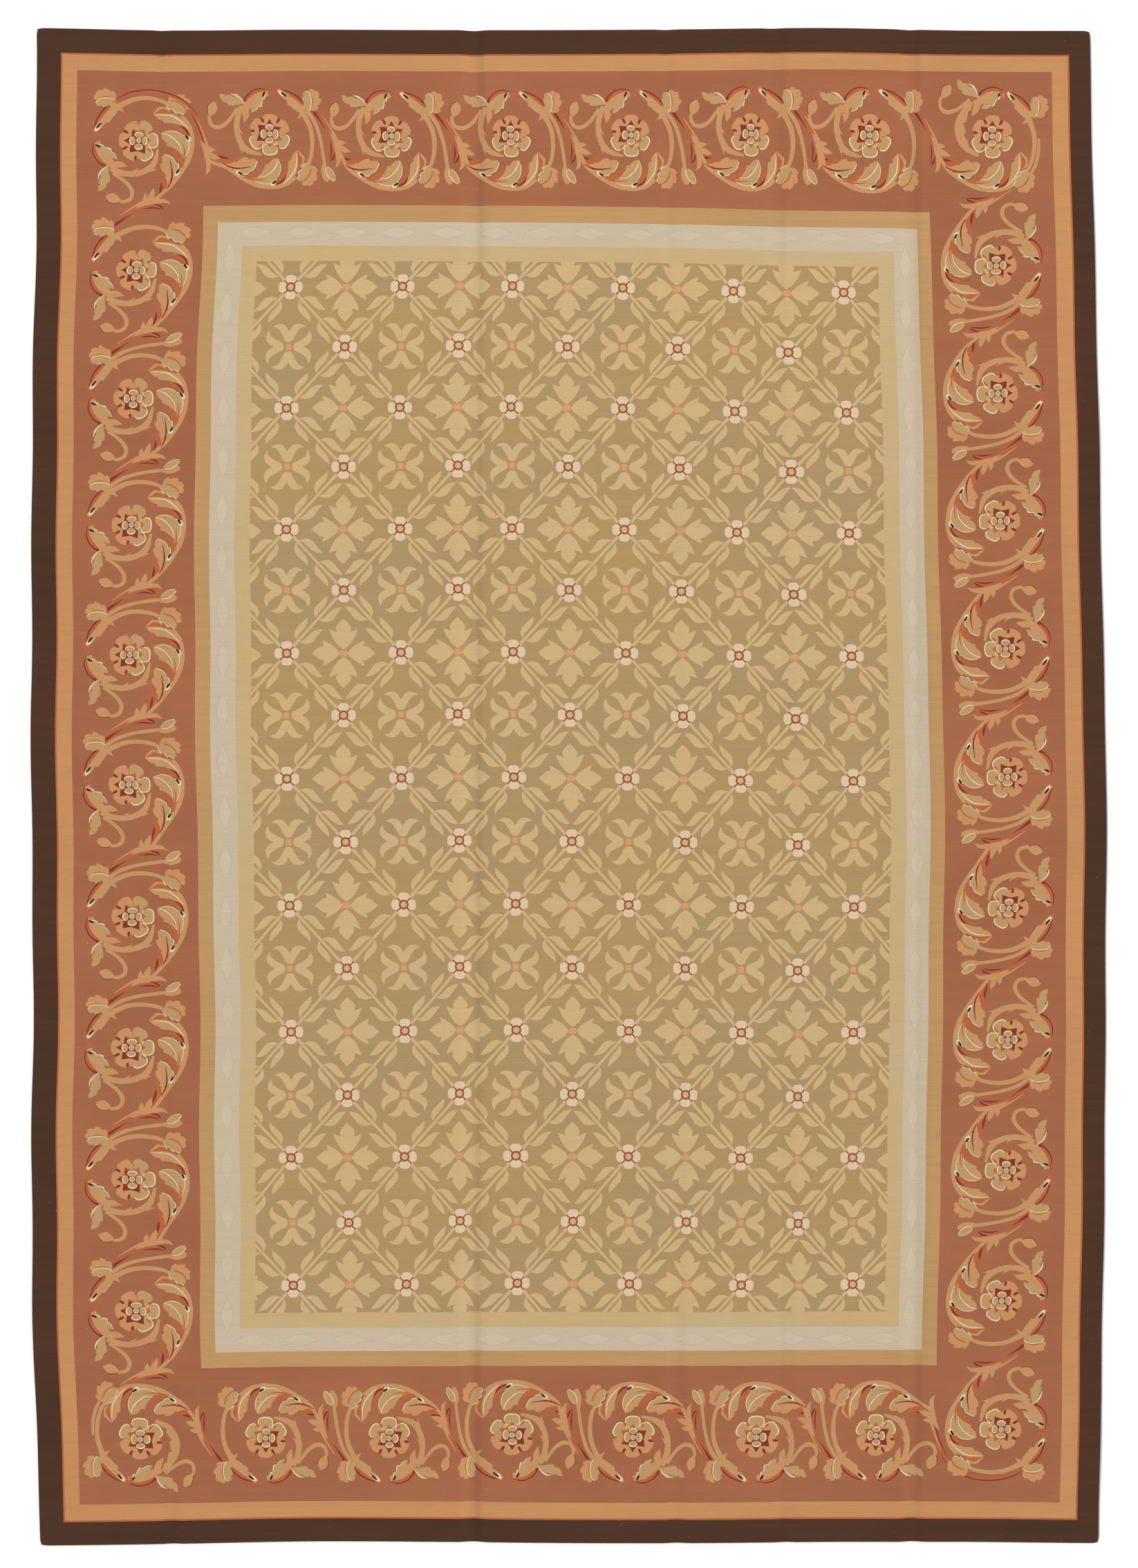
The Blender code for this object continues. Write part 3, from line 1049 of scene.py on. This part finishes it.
def white_rosette(cartoon, place):
    """Four white petals round a ringed centre."""
    carry = seat(*place)
    for degrees in (0, 90, 180, 270):
        petal = flower_lobe(degrees, PETAL_OUT, PETAL_DEEP, PETAL_LONG)
        cartoon.lay("petal_white", petal, carry)
    for degrees in (45, 135, 225, 315):
        rows = [(*at_angle(degrees, out), width) for out, width in PETAL_LINE]
        cartoon.lay("line_red", stem(rows), carry)
    cartoon.lay("line_red", oval(0, 0, RING_OUTER, RING_OUTER), carry)
    cartoon.lay("centre_tan", oval(0, 0, RING_INNER, RING_INNER, 0, 10), carry)


def petals(cartoon, place, upright, level, square):
    """Four petals round a small square centre."""
    for quarter in range(4):
        shape = upright if quarter % 2 == 0 else level
        other = [mirrored(run) for run in reversed(shape)]
        carry = seat(*place, quarter * math.pi / 2.0)
        cartoon.lay("motif_gold", outline(*shape, *other), carry)
    half_u, half_v = square
    corners = [(-half_u, -half_v), (half_u, -half_v), (half_u, half_v), (-half_u, half_v)]
    cartoon.lay("orange", corners, seat(*place))


def leafy_stem(cartoon, start, end):
    """Straight stem from an A rosette to a B rosette, with two pairs of leaves that point to B."""
    run_x = end[0] - start[0]
    run_y = end[1] - start[1]
    run = math.hypot(run_x, run_y) / MM
    outer_side = 1.0 if run_x * run_y > 0 else -1.0
    carry = seat(*start, math.atan2(run_y, run_x), -outer_side)
    wide, narrow = STEM_WIDTHS
    rows = ((STEM_GAP, 0, wide), (run / 2.0, 0, narrow), (run - STEM_GAP, 0, wide))
    cartoon.lay("motif_gold", stem(rows), carry)
    for leaf_start in LEAF_STARTS:
        for leaf in (OUTER_LEAF, INNER_LEAF):
            shape = outline(*([(u + leaf_start, v) for u, v in part] for part in leaf))
            cartoon.lay("motif_gold", shape, carry)


def crossing(column, row):
    """Place where a column and a row of the lattice cross."""
    return column[0] + row[1], row[0] + column[1]


def stepped(lines):
    """Columns or rows of the lattice, with one more at each end at the same step."""
    first = [2.0 * near - far for near, far in zip(lines[0], lines[1])]
    last = [2.0 * near - far for near, far in zip(lines[-1], lines[-2])]
    return (first, *lines, last)


def draw_field(cartoon):
    """The trellis of rosettes, leafy stems and crosses. The bands cut what runs past the field."""
    b_columns = stepped(B_COLUMNS)
    b_rows = stepped(B_ROWS)
    ends = [crossing(column, row) for column in b_columns for row in b_rows]
    for column in A_COLUMNS:
        for row in A_ROWS:
            start = crossing(column, row)
            for end in ends:
                if math.dist(start, end) < NEXT_REACH:
                    leafy_stem(cartoon, start, end)
    for row in A_ROWS:
        for column in b_columns:
            petals(cartoon, crossing(column, row), LONG_PETAL, BROAD_PETAL, LEAF_SQUARE)
    for row in b_rows:
        for column in A_COLUMNS:
            petals(cartoon, crossing(column, row), HORN_PETAL, HORN_PETAL, HORN_SQUARE)
    for columns, rows in ((A_COLUMNS, A_ROWS), (B_COLUMNS, B_ROWS)):
        for column in columns:
            for row in rows:
                white_rosette(cartoon, crossing(column, row))


def draw_guard(cartoon):
    """Faint long lozenges in a row along the ivory band."""
    frame_x, frame_y = frame_size()
    middle_x = frame_x - BANDS[3][1] - BANDS[4][1] / 2.0
    middle_y = frame_y - BANDS[3][3] - BANDS[4][3] / 2.0
    for side in (-1.0, 1.0):
        for along in lozenge_places(middle_y):
            lozenge(cartoon, seat(side * middle_x, along))
        for along in lozenge_places(middle_x):
            lozenge(cartoon, seat(along, side * middle_y, math.pi / 2.0))


def lozenge_places(half):
    """Places of the lozenges along a side, from half its length."""
    count = round(2.0 * half / LOZENGE_PITCH)
    return [half * (2.0 * (number + 0.5) / count - 1.0) for number in range(count)]


def lozenge(cartoon, carry):
    """One long lozenge with bowed sides: a thin darker line round a paler heart."""
    for yarn, half_long, half_wide in LOZENGE_LAYERS:
        side = half_wide * LOZENGE_SHOULDER
        half = half_long / 2.0
        rows = ((0, -half_long, 0, 0), (0, -half, side, side), (0, 0, half_wide, half_wide),
                (0, half, side, side), (0, half_long, 0, 0))
        cartoon.lay(yarn, blade(rows, steps=3), carry)


def draw_joins(cartoon):
    """Thin reddish line where the brown rim meets the apricot band."""
    outer = [width - JOIN_LINE / 2.0 for width in BANDS[0][1:]]
    inner = [width + JOIN_LINE / 2.0 for width in BANDS[0][1:]]
    lay_band(cartoon, "terracotta", outer, inner)


def thinned(points):
    """The same outline without the points that lie almost on their neighbours' line."""
    kept = list(points)
    number = 0
    while number < len(kept) and len(kept) > 4:
        before = kept[number - 1]
        here = kept[number]
        after = kept[(number + 1) % len(kept)]
        run = math.hypot(after[0] - before[0], after[1] - before[1])
        off = abs(
            (after[0] - before[0]) * (here[1] - before[1])
            - (after[1] - before[1]) * (here[0] - before[0])
        )
        if run < SAME_PLACE or off / run < STRAIGHT_SLACK and run < STRAIGHT_RUN:
            kept.pop(number)
        number += 1
    return kept


def filled(points):
    """The same outline with points put in along its long runs, so that it can follow the cloth."""
    out = []
    for number, (x, y) in enumerate(points):
        next_x, next_y = points[(number + 1) % len(points)]
        count = max(1, math.ceil(math.hypot(next_x - x, next_y - y) / OUTLINE_STEP))
        for step in range(count):
            out.append((x + (next_x - x) * step / count, y + (next_y - y) * step / count))
    return out


def frame_at(depths):
    """Low and high corner of the frame that lies so deep from the left, right, lower and upper edge."""
    left, right, lower, upper = depths
    return left - HALF_WIDTH, lower - HALF_LENGTH, HALF_WIDTH - right, HALF_LENGTH - upper


def strips(outer, inner):
    """The four strips of a woven band between two frames: two full-length sides and the ends."""
    x0, y0, x3, y3 = frame_at(outer)
    x1, y1, x2, y2 = frame_at(inner)
    return (
        rectangle(x0, y0, x1, y3),
        rectangle(x2, y0, x3, y3),
        rectangle(x1, y0, x2, y1),
        rectangle(x1, y2, x2, y3),
    )


def lay_band(cartoon, yarn, outer, inner):
    """Lay a woven band between two frames."""
    for strip in strips(outer, inner):
        cartoon.lay(yarn, strip)


def rectangle(low_x, low_y, high_x, high_y):
    """Corners of an upright rectangle."""
    return [(low_x, low_y), (high_x, low_y), (high_x, high_y), (low_x, high_y)]


def draw_rug():
    """The whole drawing, from the field outwards."""
    cartoon = Cartoon()
    bands = []
    outer = [0.0] * 4
    for yarn, *widths in BANDS:
        inner = [depth + width for depth, width in zip(outer, widths)]
        bands.append((yarn, outer, inner))
        outer = inner
    cartoon.lay("olive", rectangle(*frame_at(outer)))
    draw_field(cartoon)
    for band in reversed(bands[2:]):
        lay_band(cartoon, *band)
        if band[0] == "ivory":
            draw_guard(cartoon)
    draw_border(cartoon)
    for band in bands[:2]:
        lay_band(cartoon, *band)
    draw_joins(cartoon)
    return cartoon


def rest_points():
    """Points that carry the cloth's shape: an even net, denser along creases."""
    points = []
    for x in np.linspace(-HALF_WIDTH, HALF_WIDTH, round(2.0 * HALF_WIDTH / REST_STEP) + 1):
        for y in np.linspace(-HALF_LENGTH, HALF_LENGTH, round(LENGTH / REST_STEP) + 1):
            points.append((x, y))
    rows = round(LENGTH / CREASE_STEP)
    for lower_x, upper_x, _, half_width, _ in CREASES:
        middle = (lower_x + upper_x) / 2.0
        for share in np.linspace(-1.0, 1.0, CREASE_LINES):
            for row in range(rows + 1):
                points.append((middle + share * half_width, row * LENGTH / rows - HALF_LENGTH))
    return points


def edge_run():
    """Points once round the rug's edge, anticlockwise from the lower left corner."""
    across = round(2.0 * HALF_WIDTH / EDGE_STEP)
    along = round(LENGTH / EDGE_STEP)
    lower = [(2.0 * HALF_WIDTH * step / across - HALF_WIDTH, -HALF_LENGTH) for step in range(across)]
    right = [(HALF_WIDTH, LENGTH * step / along - HALF_LENGTH) for step in range(along)]
    return lower + right + [(-x, -y) for x, y in lower] + [(-x, -y) for x, y in right]


def panel_lines():
    """Lines that part the woven sides into panels."""
    columns = [2.0 * HALF_WIDTH * n / PANEL_COLUMNS - HALF_WIDTH for n in range(PANEL_COLUMNS + 1)]
    rows = [LENGTH * n / PANEL_ROWS - HALF_LENGTH for n in range(PANEL_ROWS + 1)]
    return columns, rows


def within(shape, places):
    """Which places the outline runs round, also where it crosses itself."""
    corners = np.array(shape)
    after = np.roll(corners, -1, axis=0)
    x, y = places[:, 0, None], places[:, 1, None]
    side = (
        (after[:, 0] - corners[:, 0]) * (y - corners[:, 1])
        - (x - corners[:, 0]) * (after[:, 1] - corners[:, 1])
    )
    upwards = (corners[:, 1] <= y) & (after[:, 1] > y) & (side > 0.0)
    downwards = (corners[:, 1] > y) & (after[:, 1] <= y) & (side < 0.0)
    return upwards.sum(axis=1) != downwards.sum(axis=1)


def weave(cartoon):
    """Cut the drawing into triangles. Each takes the yarn of the last outline round it."""
    points = []
    edges = []
    shapes = [(yarn, thinned(shape)) for yarn, shape in cartoon.shapes]
    columns, rows = panel_lines()
    cuts = [[(x, -HALF_LENGTH), (x, HALF_LENGTH)] for x in columns[1:-1]]
    cuts += [[(-HALF_WIDTH, y), (HALF_WIDTH, y)] for y in rows[1:-1]]
    for shape in cuts + [shape for _, shape in shapes]:
        start = len(points)
        run = filled(shape)
        points.extend(run)
        edges.extend((start + n, start + (n + 1) % len(run)) for n in range(len(run)))
    points.extend(edge_run())
    points.extend(rest_points())
    vectors = [Vector(point) for point in points]
    found = delaunay_2d_cdt(vectors, edges, [], 0, MERGE_REACH, False)
    places = np.array([tuple(point) for point in found[0]])
    triangles = np.array(found[2])
    middle = places[triangles].mean(axis=1)
    by_height = np.argsort(middle[:, 1])
    middle = middle[by_height]
    triangles = triangles[by_height]
    order = {yarn: number for number, yarn in enumerate(YARNS)}
    yarns = np.zeros(len(triangles), dtype=int)
    for yarn, shape in shapes:
        corners = np.array(shape)
        low = corners.min(axis=0)
        high = corners.max(axis=0)
        first, last = np.searchsorted(middle[:, 1], (low[1], high[1]))
        near = middle[first:last, 0]
        numbers = first + np.flatnonzero((near >= low[0]) & (near <= high[0]))
        yarns[numbers[within(shape, middle[numbers])]] = order[yarn]
    return places, triangles, yarns


def surface_normals(x, y, up):
    """Upright or hanging normals of the cloth at points of the straight rug."""
    here = np.stack(lie(x, y), axis=1)
    across = np.stack(lie(x + NORMAL_REACH, y), axis=1) - here
    along = np.stack(lie(x, y + NORMAL_REACH), axis=1) - here
    normals = np.cross(across, along)
    normals /= np.linalg.norm(normals, axis=1)[:, None]
    return normals if up else -normals


def placed(name, data, place=(0.0, 0.0, 0.0), tilt=(0.0, 0.0, 0.0)):
    """Object put into the scene."""
    made = bpy.data.objects.new(name, data)
    made.location = place
    made.rotation_euler = tilt
    bpy.context.scene.collection.objects.link(made)
    return made


def make_mesh(name, places, faces, materials):
    """Mesh with its materials."""
    mesh = bpy.data.meshes.new(name)
    mesh.from_pydata(places, [], faces)
    for material in materials:
        mesh.materials.append(material)
    return mesh


def make_panel(name, places, faces, materials, yarns, normals):
    """Panel of the cloth with a yarn for each face and given normals."""
    used, slots = np.unique(yarns, return_inverse=True)
    used_materials = [materials[number] for number in used]
    mesh = make_mesh(name, places.tolist(), faces.tolist(), used_materials)
    mesh.polygons.foreach_set("material_index", slots.tolist())
    mesh.shade_smooth()
    mesh.normals_split_custom_set_from_vertices(normals.tolist())
    mesh.update()
    return placed(name, mesh)


def lay_flat_uv(piece):
    """Unwrap a panel straight down."""
    mesh = piece.data
    count = len(mesh.vertices)
    places = np.empty(count * 3)
    mesh.vertices.foreach_get("co", places)
    flat = places.reshape(count, 3)[:, :2]
    low = flat.min(axis=0)
    size = flat.max(axis=0) - low
    corners = np.empty(len(mesh.loops), dtype=int)
    mesh.loops.foreach_get("vertex_index", corners)
    layer = mesh.uv_layers.new(name="OFBake")
    unwrapped = UV_MARGIN + (1.0 - 2.0 * UV_MARGIN) * (flat[corners] - low) / size
    layer.data.foreach_set("uv", unwrapped.ravel())


def make_panels(places, triangles, yarns, materials, side, up, centre):
    """One woven side of the cloth, in panels."""
    columns, rows = panel_lines()
    x, y = places[:, 0], places[:, 1]
    place_x, place_y, lift = lie(x, y)
    height = lift + THICKNESS if up else lift
    laid = np.stack((place_x - centre[0], place_y - centre[1], height), axis=1)
    normals = surface_normals(x, y, up)
    middle = places[triangles].mean(axis=1)
    pieces = []
    for column in range(PANEL_COLUMNS):
        for row in range(PANEL_ROWS):
            inside = (
                (middle[:, 0] > columns[column])
                & (middle[:, 0] < columns[column + 1])
                & (middle[:, 1] > rows[row])
                & (middle[:, 1] < rows[row + 1])
            )
            chosen = triangles[inside]
            used, renumbered = np.unique(chosen, return_inverse=True)
            faces = renumbered.reshape(chosen.shape)
            if not up:
                faces = faces[:, ::-1]
            name = f"{side}_{column + 1}_{row + 1}"
            piece = make_panel(name, laid[used], faces, materials, yarns[inside], normals[used])
            lay_flat_uv(piece)
            pieces.append(piece)
    return pieces


def make_rim(material, centre):
    """The woven edge: a narrow rounded wall between the two sides."""
    run = np.array(edge_run())
    place_x, place_y, lift = lie(run[:, 0], run[:, 1])
    place = np.stack((place_x - centre[0], place_y - centre[1]), axis=1)
    side = np.roll(place, -1, axis=0) - np.roll(place, 1, axis=0)
    outward = np.stack((side[:, 1], -side[:, 0]), axis=1)
    outward /= np.linalg.norm(outward, axis=1)[:, None]
    rows = []
    for step in range(RIM_STEPS + 1):
        angle = math.pi * (step / RIM_STEPS - 0.5)
        out = RIM_BULGE * math.cos(angle)
        height = lift + THICKNESS * (0.5 + 0.5 * math.sin(angle))
        rows.append(np.column_stack((place + outward * out, height)))
    count = len(run)
    faces = []
    for step in range(RIM_STEPS):
        for number in range(count):
            after = (number + 1) % count
            low = step * count
            high = low + count
            faces.append((low + number, low + after, high + after, high + number))
    mesh = make_mesh("woven_edge", np.concatenate(rows).tolist(), faces, [material])
    mesh.shade_smooth()
    mesh.update()
    return placed("woven_edge", mesh)


def linear(channel):
    """Linear value of a screen colour channel from 0 to 255."""
    share = channel / 255.0
    if share <= 0.04045:
        return share / 12.92
    return ((share + 0.055) / 1.055) ** 2.4


def dye(colour):
    """Cloth colour, with its alpha, that shows as a screen colour in the studio light."""
    return (*(linear(channel) / STUDIO_GAIN for channel in colour), 1.0)


class Nodes:
    """Short hand for building a material's nodes, or a group's."""

    def __init__(self, tree):
        self.tree = tree
        self.shader = tree.nodes.get("Principled BSDF")
        self.object_place = self.add("ShaderNodeTexCoord").outputs["Object"]

    def add(self, kind, inputs=None, **settings):
        """Node with values or other nodes' outputs for its sockets, and with its settings."""
        node = self.tree.nodes.new(kind)
        for name, value in settings.items():
            setattr(node, name, value)
        self.feed(node, inputs or {})
        return node

    def feed(self, node, inputs):
        """Set each named or numbered socket to a value, or link another node's output to it."""
        for name, value in inputs.items():
            if isinstance(value, bpy.types.NodeSocket):
                self.tree.links.new(value, node.inputs[name])
            else:
                node.inputs[name].default_value = value

    def noise(self, look, start=(0.0, 0.0, 0.0)):
        """Noise from 0 to 1, with a scale for each axis, its detail and its roughness."""
        scale, detail, roughness = look
        mapping = self.add("ShaderNodeMapping", {
            "Vector": self.object_place, "Scale": scale, "Location": start,
        })
        return self.add("ShaderNodeTexNoise", {
            "Vector": mapping.outputs["Vector"], "Scale": 1.0, "Detail": detail,
            "Roughness": roughness,
        }).outputs["Fac"]

    def ranged(self, source, low, high, to_low, to_high):
        """Value carried from one range to another, and held at its ends."""
        return self.add("ShaderNodeMapRange", {
            "Value": source, "From Min": low, "From Max": high, "To Min": to_low, "To Max": to_high,
        }).outputs["Result"]

    def maths(self, operation, first, second):
        """Result of one step of arithmetic on two values."""
        return self.add("ShaderNodeMath", {0: first, 1: second}, operation=operation).outputs[0]

    def product(self, value, *others):
        """Product of several values."""
        for other in others:
            value = self.maths("MULTIPLY", value, other)
        return value

    def mixed(self, share, first, second):
        """Colour between two colours."""
        inputs = {0: share, 6: first, 7: second}
        return self.add("ShaderNodeMix", inputs, data_type="RGBA").outputs[2]


def crease_shade_and_wear():
    """Share of brightness kept: less along the fold lines, as painted crease shade and some worn nap.
    """
    group = bpy.data.node_groups.new("crease_shade_and_wear", "ShaderNodeTree")
    group.interface.new_socket("Share", in_out="OUTPUT", socket_type="NodeSocketFloat")
    nodes = Nodes(group)
    apart = nodes.add("ShaderNodeSeparateXYZ", {"Vector": nodes.object_place})
    kept = 1.0
    for lower_x, upper_x, loss in CREASE_SHADE_AND_WEAR:
        lean = nodes.maths("MULTIPLY", apart.outputs["Y"], (upper_x - lower_x) / LENGTH)
        line = nodes.maths("ADD", lean, (lower_x + upper_x) / 2.0)
        off = nodes.maths("SUBTRACT", apart.outputs["X"], line)
        near = nodes.ranged(nodes.maths("ABSOLUTE", off, 0.0), 0.0, CREASE_SHADE_REACH, 1.0 - loss, 1.0)
        kept = nodes.maths("MULTIPLY", near, kept)
    nodes.add("NodeGroupOutput", {0: kept})
    return group


def new_material(name):
    """Material and its nodes."""
    material = bpy.data.materials.new(name)
    material.use_nodes = True
    return material, Nodes(material.node_tree)


def wool(name, number, colour, other, streak, patch, crease_shade_group):
    """Weft-faced tapestry wool: ribs across the width, dye streaks, patches and faint lint."""
    material, nodes = new_material(name)
    start = (number * YARN_SHIFT[0], number * YARN_SHIFT[1], 0.0)
    patches = nodes.ranged(nodes.noise(PATCH_NOISE, start), *PATCH_SPAN, 0.0, patch)
    streaks = nodes.noise(STREAK_NOISE, start)
    picks = nodes.noise(PICK_NOISE, start)
    ribs = nodes.add("ShaderNodeTexWave", {"Vector": nodes.object_place, **RIBS},
                     wave_type="BANDS", bands_direction="Y").outputs["Fac"]
    light = nodes.product(
        nodes.ranged(streaks, *STREAK_SPAN, 1.0 - streak, 1.0 + streak),
        nodes.ranged(picks, *PICK_LIGHT),
        nodes.ranged(nodes.noise(GRAIN_NOISE, start), *GRAIN_LIGHT),
        nodes.ranged(ribs, *RIB_LIGHT),
        # painted shade along the creases, with some worn nap
        nodes.add("ShaderNodeGroup", node_tree=crease_shade_group).outputs[0],
    )
    tone = nodes.mixed(patches, dye(colour), dye(other))
    shade = nodes.add("ShaderNodeVectorMath", {"Vector": tone, "Scale": light}, operation="SCALE")
    specks = nodes.ranged(nodes.noise(LINT_NOISE, LINT_START), *LINT_SPAN, 0.0, LINT_SHARE)
    height = nodes.maths("ADD", nodes.product(ribs, RIB_HEIGHT), nodes.product(picks, PICK_HEIGHT))
    bump = nodes.add("ShaderNodeBump", {"Height": height, **RELIEF})
    nodes.feed(nodes.shader, {
        "Base Color": nodes.mixed(specks, shade.outputs["Vector"], dye(LINT_COLOUR)),
        "Normal": bump.outputs["Normal"],
        **WOOL_SHEEN,
    })
    material.diffuse_color = dye(colour)
    return material


def make_floor():
    """Plain pale studio floor."""
    material, nodes = new_material("pale_floor")
    mottle = nodes.ranged(nodes.noise(FLOOR_NOISE), *FLOOR_SPAN)
    nodes.feed(nodes.shader, {
        "Base Color": nodes.mixed(mottle, *((*tone, 1.0) for tone in FLOOR_TONES)),
        "Roughness": FLOOR_ROUGHNESS,
    })
    square = rectangle(-FLOOR_HALF, -FLOOR_HALF, FLOOR_HALF, FLOOR_HALF)
    mesh = make_mesh("floor", [(x, y, 0.0) for x, y in square], [(0, 1, 2, 3)], [material])
    floor = placed("floor", mesh, (0.0, 0.0, -FLOOR_DROP))


def make_light():
    """Even studio light from all round, with a little more from the left and over the upper end."""
    world = bpy.data.worlds.new("studio")
    world.use_nodes = True
    background = world.node_tree.nodes["Background"]
    background.inputs["Color"].default_value = (1.0, 1.0, 1.0, 1.0)
    background.inputs["Strength"].default_value = WORLD_STRENGTH
    bpy.context.scene.world = world
    sun = bpy.data.lights.new("soft_sun", "SUN")
    sun.energy = SUN_ENERGY
    sun.angle = SUN_WIDTH
    placed("soft_sun", sun, tilt=SUN_TILT)
    panel = bpy.data.lights.new("soft_panel", "AREA")
    panel.shape = "RECTANGLE"
    panel.size, panel.size_y = PANEL_LAMP_SIZE
    panel.energy = PANEL_LAMP_POWER
    placed("soft_panel", panel, PANEL_LAMP_PLACE)


def make_camera():
    """Long lens straight above the rug, with the photo's framing."""
    lens = bpy.data.cameras.new("camera")
    lens.sensor_fit = "VERTICAL"
    lens.sensor_height = SENSOR
    lens.lens = SENSOR * CAMERA_HEIGHT / FRAME_LENGTH
    lens.clip_end = CLIP_END
    bpy.context.scene.camera = placed("camera", lens, (*FRAME_MIDDLE, CAMERA_HEIGHT + THICKNESS))


def main():
    make_camera()
    make_light()
    make_floor()
    # Painted crease shade, with some worn nap, shared by every yarn
    crease_shade_group = crease_shade_and_wear()
    materials = []
    for number, (yarn, look) in enumerate(YARNS.items()):
        materials.append(wool(f"wool_{yarn}", number, *look, crease_shade_group))
    centre = box_centre()
    places, triangles, yarns = weave(draw_rug())
    face = make_panels(places, triangles, yarns, materials, "face", True, centre)
    back = make_panels(places, triangles, yarns, materials, "back", False, centre)
    rim = make_rim(materials[list(YARNS).index("brown")], centre)
    pieces = [*face, *back, rim]
    for piece in pieces:
        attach(piece, BODY)
        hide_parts(NODE)
    bpy.context.scene.view_settings.view_transform = "Standard"


main()
